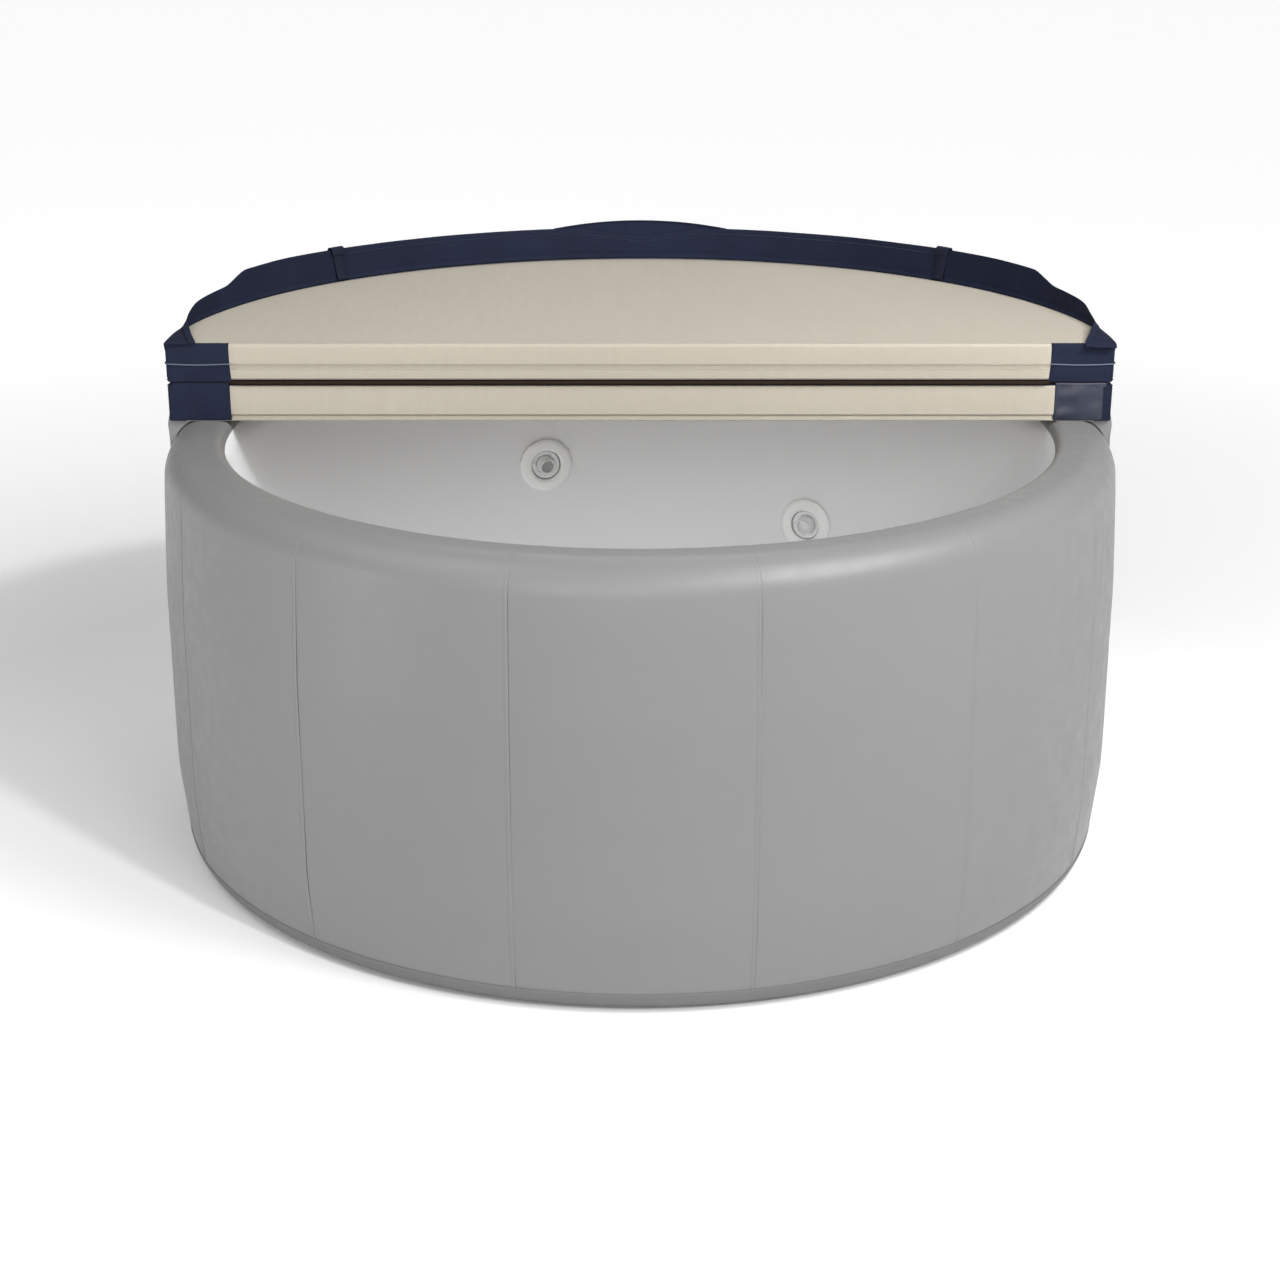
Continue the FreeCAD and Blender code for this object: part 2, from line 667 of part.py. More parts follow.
def hinge_strip():
    """The welt the cover folds on, with a tail glued to the rear half."""
    half = COVER_RADIUS - 6.0
    welt = Part.makeCylinder(HINGE_WELT_RADIUS, 2.0 * half, Vector(-half, 0, HINGE_HEIGHT), Vector(1, 0, 0))
    foot = COVER_TOP + GLUE_GAP
    tail = block(-half, half, 0.0, HINGE_TAIL, foot, foot + HINGE_TAIL_THICKNESS)
    return welt.fuse(tail)


def seam_tape():
    half = COVER_CORE_RADIUS - PATCH_WIDTH
    back = FOLD_FACE - GLUE_GAP
    return block(-half, half, back - SEAM_TAPE_THICKNESS, back, SEAM_TAPE_FOOT, SEAM_TAPE_TOP)


def lifting_loops():
    """Webbing folded over the skirt's hem, once on each side."""
    gap = GLUE_GAP + 0.2
    inner = SKIRT_RADIUS - gap
    outer = SKIRT_RADIUS + SKIRT_THICKNESS + gap
    outline = [
        (inner - WEBBING, LOOP_INSIDE_FOOT),
        (inner, LOOP_INSIDE_FOOT),
        (inner, SKIRT_HEM + gap),
        (outer, SKIRT_HEM + gap),
        (outer, LOOP_OUTSIDE_FOOT),
        (outer + WEBBING, LOOP_OUTSIDE_FOOT),
        (outer + WEBBING, SKIRT_HEM + gap + WEBBING),
        (inner - WEBBING, SKIRT_HEM + gap + WEBBING),
    ]
    loops = []
    for side in (-1.0, 1.0):
        loops.append(turned(outline, 90.0 + side * LOOP_DEG - LOOP_WIDTH_DEG / 2, LOOP_WIDTH_DEG))
    return Part.makeCompound(loops)


def grab_flap():
    """An arched flap on the outside of the skirt, standing a little above its hem."""
    inner = SKIRT_RADIUS + SKIRT_THICKNESS + GLUE_GAP
    outer = inner + WEBBING
    outline = [(inner, GRAB_FOOT), (outer, GRAB_FOOT), (outer, GRAB_TOP), (inner, GRAB_TOP)]
    strip = turned(outline, 90.0 - GRAB_HALF_DEG, 2.0 * GRAB_HALF_DEG)
    half = outer * math.sin(math.radians(GRAB_HALF_DEG)) + 1.0
    shoulder = SKIRT_HEM - 8.0
    arch = Part.Arc(Vector(half, 0, shoulder), Vector(0, 0, GRAB_TOP), Vector(-half, 0, shoulder)).toShape()
    sides = Part.makePolygon(
        [
            Vector(-half, 0, shoulder),
            Vector(-half, 0, GRAB_FOOT),
            Vector(half, 0, GRAB_FOOT),
            Vector(half, 0, shoulder),
        ]
    )
    window = Part.Face(Part.Wire([arch] + sides.Edges)).extrude(Vector(0, 2.0 * TUB_RADIUS, 0))
    return strip.common(window)


# ---- assembly ----


def solids_of(shapes):
    return [solid for shape in shapes for solid in shape.Solids]


def fuse_all(shapes):
    return shapes[0].multiFuse(shapes[1:]) if len(shapes) > 1 else shapes[0]


def grouped(shapes):
    return Part.makeCompound(solids_of(shapes))


def build():
    parts = {}
    parts.update(jacket_panels())
    parts["wall_foam_staves"] = wall_foam()
    parts["base_skin"] = base_skin()
    parts["floor_pad"] = floor_pad()
    parts["liner_wall"] = liner_wall()
    parts["liner_floor"] = liner_floor()

    for number, (angle, height, lean) in enumerate(JETS, start=1):
        parts["jet_%d_flange" % number] = on_wall(jet_flange(), angle, height)
        parts["jet_%d_ring" % number] = on_wall(jet_ring(), angle, height)
        parts["jet_%d_eyeball" % number] = on_wall(jet_eyeball(lean), angle, height)
    parts["jet_bodies"] = grouped(on_every_jet(jet_body()))
    parts["jet_gaskets"] = grouped([jet_gasket(angle, height) for angle, height, _ in JETS])
    parts["jet_lock_nuts"] = grouped(on_every_jet(jet_lock_nut()))

    parts["supply_manifold"] = supply_manifold()
    parts["suction_pipe"] = suction_pipe()
    parts["suction_fitting"] = suction_fitting()
    parts["filter_cartridge"] = on_wall(filter_cartridge(), SUCTION_DEG, SERVICE_HEIGHT)
    parts["filter_grille"] = on_wall(filter_grille(), SUCTION_DEG, SERVICE_HEIGHT)
    parts["supply_port"] = on_wall(port_socket(), SUPPLY_PORT_DEG, SERVICE_HEIGHT, inward=False)
    parts["suction_port"] = on_wall(port_socket(), SUCTION_PORT_DEG, SERVICE_HEIGHT, inward=False)
    parts["drain_body"] = drain_body()
    parts["drain_cap"] = drain_cap()

    parts["rear_core"] = cover_core()
    parts["rear_top"] = cover_top()
    parts["rear_lining"] = cover_lining()
    parts["rear_corner_patches"] = corner_patches()
    parts["rear_skirt"] = rear_skirt()
    parts["hinge_strip"] = hinge_strip()
    parts["front_core"] = folded_over(cover_core())
    parts["front_top"] = folded_over(cover_top())
    parts["front_lining"] = folded_over(cover_lining())
    parts["front_corner_patches"] = folded_over(corner_patches())
    parts["front_skirt"] = front_skirt()
    parts["front_seam_tape"] = seam_tape()
    parts["grab_flap"] = grab_flap()
    parts["lifting_loops"] = lifting_loops()
    parts["skirt_flap_left"] = skirt_flap(-1)
    parts["skirt_flap_right"] = skirt_flap(1)
    return parts


os.makedirs("parts", exist_ok=True)
for name, shape in build().items():
    shape.exportStep(os.path.join("parts", name + ".step"))
    print(name, len(shape.Solids), round(shape.Volume / 1000.0, 2), shape.isValid())
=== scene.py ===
"""Looks for a soft-sided round hot tub whose insulated cover lies folded in half over its rear.

Metres, in the CAD model's frame: the origin is on the floor at the tub's axis, +Z is up, -Y faces the camera.
Angles round the tub are measured from +X towards +Y.
"""

import json
from math import acos, asin, atan2, ceil, cos, degrees, exp, hypot, pi, radians, sin, sqrt, tan

import bmesh
import bpy
from mathutils import Matrix, Vector, noise


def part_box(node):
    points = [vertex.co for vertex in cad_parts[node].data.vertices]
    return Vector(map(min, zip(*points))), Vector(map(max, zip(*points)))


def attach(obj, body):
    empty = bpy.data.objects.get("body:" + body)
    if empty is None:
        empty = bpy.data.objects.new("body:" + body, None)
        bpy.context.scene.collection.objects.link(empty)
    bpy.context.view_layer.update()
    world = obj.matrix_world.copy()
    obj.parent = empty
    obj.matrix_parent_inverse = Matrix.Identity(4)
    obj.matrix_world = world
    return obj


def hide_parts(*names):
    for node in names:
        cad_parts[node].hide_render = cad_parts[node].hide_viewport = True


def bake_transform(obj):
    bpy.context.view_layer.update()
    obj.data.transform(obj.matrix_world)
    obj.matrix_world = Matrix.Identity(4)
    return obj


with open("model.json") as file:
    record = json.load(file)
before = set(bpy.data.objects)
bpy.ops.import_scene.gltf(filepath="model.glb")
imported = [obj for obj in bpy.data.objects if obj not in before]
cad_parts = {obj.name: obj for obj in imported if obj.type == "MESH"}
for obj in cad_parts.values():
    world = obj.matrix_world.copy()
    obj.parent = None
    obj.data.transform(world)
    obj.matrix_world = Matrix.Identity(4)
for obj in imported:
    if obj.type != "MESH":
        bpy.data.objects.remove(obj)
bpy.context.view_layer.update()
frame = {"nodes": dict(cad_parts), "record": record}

MM = 0.001
UP = Vector((0, 0, 1))

# Tub
PANELS = 14
FIRST_SEAM = radians(-103.4)
PITCH = 2 * pi / PANELS
WELL_RADIUS = 0.650
FOOT_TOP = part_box("jacket_panel_01")[0].z
LINER_TOP = 0.632
# Radius, height and corner radius, up the outside and down the well
TUB_SIDE = [(0.739, 0.0, 0.034), (0.751, 0.140, 0.5), (0.750, 0.430, 0.5)]
TUB_SIDE += [(0.740, 0.650, 0.048), (0.650, 0.650, 0.018), (0.650, 0.020, 0.0)]
# Degrees round the tub, height, and which way the nozzle leans
JETS = [(105.8, 0.407, -45.0), (61.5, 0.306, -100.0), (285.8, 0.407, -45.0), (241.5, 0.306, -100.0)]
JET_LEAN = radians(10)
SUCTION = (89.5, 0.140)
DRAIN = (140.0, 0.062)

# Cover, folded: the rear half lies on the tub and the front half lies face down on it
REAR_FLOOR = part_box("rear_lining")[0].z
REAR_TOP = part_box("rear_top")[1].z
FRONT_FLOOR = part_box("front_top")[0].z
FRONT_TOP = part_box("front_lining")[1].z
FOLD_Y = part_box("front_lining")[0].y
HINGE_Z = (REAR_TOP + FRONT_FLOOR) / 2
BAND_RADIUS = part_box("front_top")[1].x
LINING_RADIUS = 0.7442
PATCH_INNER_X = 0.6442
PATCH_COLUMNS = 40
PATCH_FACE = FOLD_Y + 0.0002
FRONT_PATCH_EDGES = (PATCH_INNER_X - 0.0015, PATCH_INNER_X - 0.0015)
FRONT_PATCH_SLANT = 0.0032
REAR_PATCH_EDGES = (0.6475, 0.6540)
SKIRT_RADIUS = 0.7482
SKIRT_FOOT = FRONT_TOP + 0.0002
HEM_FOLD = 0.011


# ---- outlines ----


def rounded(corners, closed=False, steps=6):
    """Round the corners of an outline of (radius or x, height, corner radius) points."""
    points = []
    count = len(corners)
    for index, (x, z, radius) in enumerate(corners):
        here = Vector((x, z))
        inner = closed or 0 < index < count - 1
        if radius <= 0 or not inner:
            points.append(here)
            continue
        back = (Vector(corners[index - 1][:2]) - here).normalized()
        ahead = (Vector(corners[(index + 1) % count][:2]) - here).normalized()
        half = back.angle(ahead) / 2
        reach = radius / tan(half)
        centre = here + (back + ahead).normalized() * (radius / sin(half))
        start = here + back * reach - centre
        turn = pi - 2 * half
        if start.x * ahead.y - start.y * ahead.x < 0:
            turn = -turn
        for step in range(steps + 1):
            points.append(centre + Matrix.Rotation(turn * step / steps, 2) @ start)
    return points


def resampled(points, spacing):
    """Add points so that no gap along an outline is longer than a spacing."""
    out = [points[0]]
    for a, b in zip(points, points[1:]):
        pieces = max(1, ceil((b - a).length / spacing))
        out += [a.lerp(b, k / pieces) for k in range(1, pieces + 1)]
    return out


def ease(low, high, value):
    """A smooth step from 0 at low to 1 at high."""
    t = min(1.0, max(0.0, (value - low) / (high - low)))
    return t * t * (3 - 2 * t)


def between(knots, position):
    """Straight lines between (position, value) knots."""
    if position <= knots[0][0]:
        return knots[0][1]
    for (x0, y0), (x1, y1) in zip(knots, knots[1:]):
        if position <= x1:
            return y0 + (y1 - y0) * (position - x0) / (x1 - x0)
    return knots[-1][1]


def softened(knots, position, reach):
    """Straight lines between knots, with their corners rounded off over a reach."""
    return sum(between(knots, position + reach * k / 3) for k in range(-3, 4)) / 7


def ripple(x, y, z, scale):
    return noise.noise(Vector((x, y, z)) * scale)


def round_tub(angle, radius, height):
    return Vector((radius * cos(angle), radius * sin(angle), height))


# ---- meshes ----


def mesh_piece(name, points, faces, material, sharp_deg=40, uvs=None):
    mesh = bpy.data.meshes.new(name)
    mesh.from_pydata([tuple(p) for p in points], [], faces)
    mesh.polygons.foreach_set("use_smooth", [True] * len(mesh.polygons))
    mesh.set_sharp_from_angle(angle=radians(sharp_deg))
    if uvs:
        layer = mesh.uv_layers.new(name="UVMap")
        for loop in mesh.loops:
            layer.data[loop.index].uv = uvs[loop.vertex_index]
    mesh.materials.append(material)
    piece = bpy.data.objects.new(name, mesh)
    bpy.context.scene.collection.objects.link(piece)
    return piece


def grid_faces(columns, rows, wrap=False):
    """Quads over a grid of points that are numbered row by row; a wrapped row is joined end to end."""
    faces = []
    for low in range(0, (rows - 1) * columns, columns):
        high = low + columns
        for column in range(columns if wrap else columns - 1):
            right = (column + 1) % columns
            faces.append((low + column, low + right, high + right, high + column))
    return faces


def end_caps(count, last):
    """The end faces of a tube: its first ring of points, and its last, which starts at number `last`."""
    return [list(range(count))[::-1], list(range(last, last + count))]


def grid_piece(name, us, vs, place, material, thickness=0.0, sharp_deg=40, uv_scale=None, flip=False):
    """A grid of place(u, v) points. Its face looks along u x v unless flipped, with its thickness behind."""
    points = [place(u, v) for v in vs for u in us]
    uvs = [(u, v) for v in vs for u in us]
    piece = mesh_piece(name, points, grid_faces(len(us), len(vs)), material, sharp_deg, uvs)
    if uv_scale:
        for loop in piece.data.uv_layers[0].data:
            loop.uv = (loop.uv[0] * uv_scale[0], loop.uv[1] * uv_scale[1])
    if flip:
        piece.data.flip_normals()
    if thickness:
        thicken(piece, thickness)
    return piece


def thicken(piece, thickness):
    """Give a sheet its thickness, behind its faces."""
    solid = piece.modifiers.new("thickness", "SOLIDIFY")
    solid.thickness = thickness
    solid.offset = -1
    graph = bpy.context.evaluated_depsgraph_get()
    shape = piece.evaluated_get(graph)
    mesh = bpy.data.meshes.new_from_object(shape, preserve_all_data_layers=True, depsgraph=graph)
    piece.modifiers.clear()
    piece.data = mesh


def joined(pieces, name):
    """Join several pieces into the first."""
    with bpy.context.temp_override(active_object=pieces[0], selected_editable_objects=pieces):
        bpy.ops.object.join()
    pieces[0].name = name
    pieces[0].data.name = name
    return pieces[0]


def outline_of(*pairs):
    return [Vector(pair) for pair in pairs]


def spread(low, high, count):
    return [low + (high - low) * k / (count - 1) for k in range(count)]


def turned_piece(name, outline, material, place=Matrix.Identity(4), segments=64, closed=True, sharp_deg=35):
    """Turn an outline of (radius, height) points round the local Z axis; on the axis they become one."""
    points, faces, rings = [], [], []
    for radius, height in outline:
        if radius < 1e-7:
            rings.append([len(points)] * segments)
            points.append(place @ Vector((0, 0, height)))
            continue
        rings.append(list(range(len(points), len(points) + segments)))
        for k in range(segments):
            angle = 2 * pi * k / segments
            points.append(place @ Vector((radius * cos(angle), radius * sin(angle), height)))
    pairs = list(zip(rings, rings[1:]))
    if closed:
        pairs.append((rings[-1], rings[0]))
    for low, high in pairs:
        for k in range(segments):
            after = (k + 1) % segments
            unique = list(dict.fromkeys([low[k], low[after], high[after], high[k]]))
            if len(unique) > 2:
                faces.append(unique)
    return mesh_piece(name, points, faces, material, sharp_deg)


def tube_piece(name, path, radius, material, sides=10):
    """A round bead along a path of points."""
    points = []
    for index, here in enumerate(path):
        along = (path[min(index + 1, len(path) - 1)] - path[max(index - 1, 0)]).normalized()
        side = along.cross(UP) if abs(along.z) < 0.9 else along.cross(Vector((0, 1, 0)))
        side.normalize()
        rise = side.cross(along)
        for k in range(sides):
            angle = 2 * pi * k / sides
            points.append(here + side * (radius * cos(angle)) + rise * (radius * sin(angle)))
    faces = grid_faces(sides, len(path), wrap=True) + end_caps(sides, len(points) - sides)
    return mesh_piece(name, points, faces, material, 60)


def outward(piece):
    """Make the piece's faces look outwards."""
    work = bmesh.new()
    work.from_mesh(piece.data)
    bmesh.ops.recalc_face_normals(work, faces=work.faces)
    work.to_mesh(piece.data)
    work.free()
    return piece


def wall_frame(angle_deg, height):
    """A frame on the well's wall: local Z points to the tub's axis and local Y is up."""
    radial = round_tub(radians(angle_deg), 1, 0)
    matrix = Matrix((UP.cross(-radial), UP, -radial)).transposed().to_4x4()
    matrix.translation = radial * WELL_RADIUS + UP * height
    return matrix


# ---- materials ----


class Nodes:
    """A small helper that adds and links shader nodes."""

    def __init__(self, name):
        self.material = bpy.data.materials.new(name)
        self.material.use_nodes = True
        self.tree = self.material.node_tree
        self.shader = self.tree.nodes["Principled BSDF"]
        coordinates = self.tree.nodes.new("ShaderNodeTexCoord")
        self.place = coordinates.outputs["Object"]
        self.uv = coordinates.outputs["UV"]

    def add(self, kind, settings=(), **inputs):
        node = self.tree.nodes.new(kind)
        for key, value in dict(settings).items():
            setattr(node, key, value)
        for key, value in inputs.items():
            self.put(node.inputs[key.replace("_", " ")], value)
        return node

    def put(self, socket, value):
        if isinstance(value, bpy.types.NodeSocket):
            self.tree.links.new(value, socket)
        else:
            socket.default_value = value

    def noise(self, scale, detail=3.0, where=None):
        node = self.add("ShaderNodeTexNoise", Vector=where or self.place, Scale=scale, Detail=detail)
        return node.outputs["Fac"]

    def ranged(self, value, low, high, to_low, to_high):
        limits = {"From_Min": low, "From_Max": high, "To_Min": to_low, "To_Max": to_high}
        return self.add("ShaderNodeMapRange", Value=value, **limits).outputs["Result"]

    def blend(self, factor, colour_a, colour_b):
        node = self.add("ShaderNodeMix", {"data_type": "RGBA"})
        self.put(node.inputs[0], factor)
        self.put(node.inputs[6], colour_a)
        self.put(node.inputs[7], colour_b)
        return node.outputs[2]

    def bump(self, height, distance, strength=1.0, normal=None):
        node = self.add("ShaderNodeBump", Height=height, Distance=distance, Strength=strength)
        if normal:
            self.put(node.inputs["Normal"], normal)
        return node.outputs["Normal"]

    def math(self, operation, a, b=0.0):
        node = self.add("ShaderNodeMath", {"operation": operation})
        self.put(node.inputs[0], a)
        self.put(node.inputs[1], b)
        return node.outputs[0]

    def sine_of(self, axis_value, period):
        return self.math("SINE", self.math("MULTIPLY", axis_value, 2 * pi / period))

    def axes(self, vector):
        return self.add("ShaderNodeSeparateXYZ", Vector=vector).outputs

    def varied(self, scale, low=0.0, high=1.0, detail=3.0):
        """Noise that is spread over a range of values."""
        return self.ranged(self.noise(scale, detail), 0.3, 0.7, low, high)

    def mottled(self, factor, colour, low, high):
        """The colour between a darker and a lighter shade of itself."""
        return self.blend(factor, shade(colour, low), shade(colour, high))

    def look(self, **inputs):
        """Set the shader's own inputs, each to a value or to a node's output."""
        for key, value in inputs.items():
            self.put(self.shader.inputs[key.replace("_", " ")], value)
        return self.material


VINYL_CELLS = 1 / (2.2 * 0.0009)
LINING_THREAD = 0.0026


def shade(colour, factor):
    return tuple(min(1.0, channel * factor) for channel in colour) + (1.0,)


def coated_vinyl(name, colour, roughness, mottle=0.05, grain_depth=0.00012, specular=0.35):
    """Vinyl with a fine leather grain, broad soft mottling and slightly uneven gloss."""
    n = Nodes(name)
    base = n.mottled(n.varied(5.0, detail=2.0), colour, 1 - mottle, 1 + mottle)
    base = n.blend(n.varied(160.0), base, n.blend(0.5, base, shade(colour, 1 + 0.8 * mottle)))
    cells = n.add("ShaderNodeTexVoronoi", {"feature": "SMOOTH_F1"}, Vector=n.place, Scale=VINYL_CELLS)
    wrinkles = n.bump(n.noise(28.0, 4.0), 0.0009, 0.35)
    return n.look(
        Base_Color=base,
        Roughness=n.varied(40.0, roughness - 0.05, roughness + 0.05),
        Normal=n.bump(cells.outputs["Distance"], grain_depth, 0.8, wrinkles),
        Specular_IOR_Level=specular,
    )


def woven_vinyl(name, colour, roughness, thread=0.0016, depth=0.00016, mottle=0.08, specular=0.3):
    """Coated cloth whose weave shows through, drawn along the piece's own width and length."""
    n = Nodes(name)
    along = n.axes(n.uv)
    weave = n.math("MULTIPLY", n.sine_of(along["X"], thread), n.sine_of(along["Y"], thread))
    rows = n.math("MULTIPLY", n.sine_of(along["Y"], 4 * thread), 0.2)
    base = n.mottled(n.varied(9.0), colour, 1 - mottle, 1 + mottle)
    base = n.blend(n.ranged(weave, -1, 1, 0.0, 0.25), base, shade(colour, 0.7))
    creases = n.bump(n.noise(22.0, 5.0), 0.0016, 0.5)
    return n.look(
        Base_Color=base,
        Roughness=n.varied(60.0, roughness - 0.06, roughness + 0.06),
        Normal=n.bump(n.math("ADD", weave, rows), depth, 0.7, creases),
        Specular_IOR_Level=specular,
    )


def ribbed_lining(name, colour):
    """Pale backing cloth: a fine square weave with faint lengthwise slubs."""
    n = Nodes(name)
    at = n.axes(n.place)
    rows = n.sine_of(n.math("ADD", at["Y"], at["Z"]), LINING_THREAD)
    weave = n.math("ADD", n.sine_of(at["X"], LINING_THREAD), rows)
    stretched = n.add("ShaderNodeMapping", Vector=n.place, Scale=(90.0, 4.0, 4.0))
    slub = n.noise(1.0, 3.0, stretched.outputs["Vector"])
    base = n.mottled(n.varied(2.2, detail=2.0), colour, 0.965, 1.03)
    base = n.blend(n.ranged(slub, 0.35, 0.65, 0.0, 0.35), base, shade(colour, 0.93))
    base = n.blend(n.ranged(weave, -2, 2, 0.16, 0.0), base, shade(colour, 0.72))
    return n.look(
        Base_Color=base,
        Roughness=n.varied(80.0, 0.72, 0.84),
        Normal=n.bump(weave, 0.00012, 0.6, n.bump(n.noise(7.0, 3.0), 0.003, 0.25)),
        Specular_IOR_Level=0.2,
        Sheen_Weight=0.08,
    )


def moulded(name, colour, roughness, specular=0.45):
    """Injection-moulded plastic with a faint texture."""
    n = Nodes(name)
    return n.look(
        Base_Color=n.mottled(n.varied(300.0, detail=2.0), colour, 0.97, 1.03),
        Roughness=n.varied(90.0, roughness - 0.05, roughness + 0.05),
        Normal=n.bump(n.noise(700.0, 2.0), 0.00005, 0.5),
        Specular_IOR_Level=specular,
    )


def open_foam(name, colour):
    """Cut foam with small cells."""
    n = Nodes(name)
    cells = n.add("ShaderNodeTexVoronoi", Vector=n.place, Scale=320.0).outputs["Distance"]
    pores = n.ranged(cells, 0.0, 0.6, 0.0, 1.0)
    base = n.mottled(pores, colour, 0.8, 1.05)
    return n.look(Base_Color=base, Roughness=0.9, Normal=n.bump(cells, 0.0006, 0.8))


def pleated_cloth(name, colour):
    """Non-woven filter cloth."""
    n = Nodes(name)
    fibres = n.noise(420.0, 5.0)
    base = n.mottled(fibres, colour, 0.88, 1.0)
    return n.look(Base_Color=base, Roughness=0.85, Normal=n.bump(fibres, 0.0002, 0.8))


OUTER = coated_vinyl("outer_vinyl", (0.170, 0.170, 0.171), 0.42, mottle=0.012, grain_depth=0.00011)
BASE = coated_vinyl("base_vinyl", (0.125, 0.125, 0.127), 0.55, mottle=0.03)
LINER = coated_vinyl("liner_vinyl", (0.80, 0.80, 0.805), 0.45, mottle=0.008, grain_depth=0.00004)
GREY_SKIRT = coated_vinyl("grey_skirt", (0.155, 0.155, 0.158), 0.6, mottle=0.06)
NAVY = woven_vinyl("navy_vinyl", (0.0108, 0.0142, 0.0315), 0.7, mottle=0.14, specular=0.10)
NAVY_SOFT = coated_vinyl(
    "navy_vinyl_soft", (0.0105, 0.0130, 0.028), 0.5, mottle=0.15, grain_depth=0.00015, specular=0.5
)
LINING = ribbed_lining("beige_lining", (0.368, 0.334, 0.275))
HINGE = woven_vinyl("hinge_cloth", (0.020, 0.012, 0.008), 0.8, specular=0.1)
PIPING = coated_vinyl("navy_piping", (0.075, 0.088, 0.120), 0.4)
WEBBING = woven_vinyl("webbing", (0.0100, 0.0125, 0.027), 0.65, thread=0.0024, depth=0.0004, specular=0.15)
FOAM = open_foam("foam", (0.78, 0.77, 0.72))
JET_PLASTIC = moulded("jet_plastic", (0.88, 0.88, 0.88), 0.32)
# Painted shade: the mid grey of the disc in a nozzle's mouth stands in for the dark of the bore behind it.
BORE_SHADE_PLASTIC = moulded("bore_shade_plastic", (0.33, 0.33, 0.33), 0.5)
NOZZLE_PLASTIC = moulded("nozzle_plastic", (0.80, 0.80, 0.80), 0.3)

# The finish of each CAD slot, for the nodes that are carried over as they are
CAD_FINISH = dict(
    outer_vinyl=OUTER, base_vinyl=BASE, liner_vinyl=LINER, foam=FOAM, jet_plastic=JET_PLASTIC,
    nozzle_plastic=NOZZLE_PLASTIC, navy_vinyl=NAVY_SOFT, beige_lining=LINING, grey_skirt=GREY_SKIRT,
    webbing=WEBBING,
    pipe_plastic=moulded("pipe_plastic", (0.72, 0.72, 0.70), 0.4),
    seal_rubber=moulded("seal_rubber", (0.02, 0.02, 0.021), 0.7, specular=0.2),
    port_plastic=moulded("port_plastic", (0.045, 0.046, 0.05), 0.42),
    filter_cloth=pleated_cloth("filter_cloth", (0.80, 0.82, 0.86)),
)

for subpart in frame["record"]["subparts"]:
    node = frame["nodes"][subpart["node"]]
    node.data.materials.clear()
    node.data.materials.append(CAD_FINISH[subpart["material_slot"]])


def own(piece, body, slot, *nodes):
    """The piece rides on a body and may stand for CAD nodes, which it hides. Its slot is not used."""
    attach(piece, body)
    if nodes:
        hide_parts(*nodes)


# ---- tub ----

PANEL_RADIUS = 0.751
VINYL = 0.0012
WELD_HEIGHT = 0.0010
GROOVE_DEPTH = 0.0001
SWELL = 0.0016
SEAM_STEPS = [0.0, 0.0008, 0.0016, 0.0026, 0.0038, 0.005, 0.0062, 0.0075]
SEAM_STEPS += [0.009, 0.011, 0.014, 0.019, 0.027, 0.040, 0.060]
OUTER_PATH = resampled([Vector((0.0, 0.0))] + rounded([(0.0, 0.0, 0.0)] + TUB_SIDE, steps=14)[1:], 0.016)


def panel_outline():
    """The side from the foot band over the lip to the liner's top edge."""
    points = [p for p in OUTER_PATH if p.x > WELL_RADIUS - MM and p.y > FOOT_TOP]
    points = [p for p in points if not (p.x < WELL_RADIUS + MM and p.y < LINER_TOP)]
    foot = Vector((0.7404, FOOT_TOP + 0.0004))
    return [foot] + points + [Vector((WELL_RADIUS, LINER_TOP + 0.0003))]


def outline_normals(points):
    """Outward normals of an outline that runs up the outside and down the inside."""
    normals = []
    for index, _ in enumerate(points):
        along = points[min(index + 1, len(points) - 1)] - points[max(index - 1, 0)]
        normals.append(Vector((along.y, -along.x)).normalized())
    return normals


def jacket_panel(number):
    """One welded panel: a lapped weld stands proud along its last edge, and the vinyl swells a little."""
    label = "%02d" % (number + 1)
    start = FIRST_SEAM + number * PITCH
    width = PITCH * PANEL_RADIUS
    outline = panel_outline()
    normals = outline_normals(outline)
    distances = SEAM_STEPS + spread(0.085, width - 0.085, 9) + [width - d for d in reversed(SEAM_STEPS)]
    along = [0.0]
    for a, b in zip(outline, outline[1:]):
        along.append(along[-1] + (b - a).length)

    def place(distance, row):
        point, normal = outline[row], normals[row]
        after = width - distance
        wall = ease(0.03, 0.16, point.y) * (1 - ease(0.56, 0.65, point.y))
        wall *= ease(0.70, 0.735, point.x)
        show = 1 - 0.8 * ease(0.57, 0.635, point.y)
        weld = WELD_HEIGHT * (1 - ease(0.0034, 0.0062, after))
        weld *= 1 - 0.6 * ease(0.0, 0.0026, 0.0026 - after)
        groove = -GROOVE_DEPTH * exp(-(((distance - 0.001) / 0.0022) ** 2))
        groove -= GROOVE_DEPTH * exp(-(((after - 0.0085) / 0.002) ** 2))
        swell = SWELL * (4 * distance * after / width**2) ** 0.7 * wall
        sway = 0.0004 * ripple(point.y, start + distance / 0.75, 0.3, 5.0)
        tuck = -0.0012 * (1 - ease(0.0, 0.012, along[row]))
        angle = start + distance / PANEL_RADIUS + 0.0015 * ripple(point.y, start, 1.7, 4.0) * wall
        lift = show * (weld + groove) + swell + sway + tuck
        return round_tub(angle, point.x + normal.x * lift, point.y + normal.y * lift)

    rows = range(len(outline))
    piece = grid_piece("outer_panel_" + label, distances, rows, place, OUTER, thickness=VINYL, sharp_deg=60)
    own(piece, "tub", "outer_vinyl", "jacket_panel_" + label)


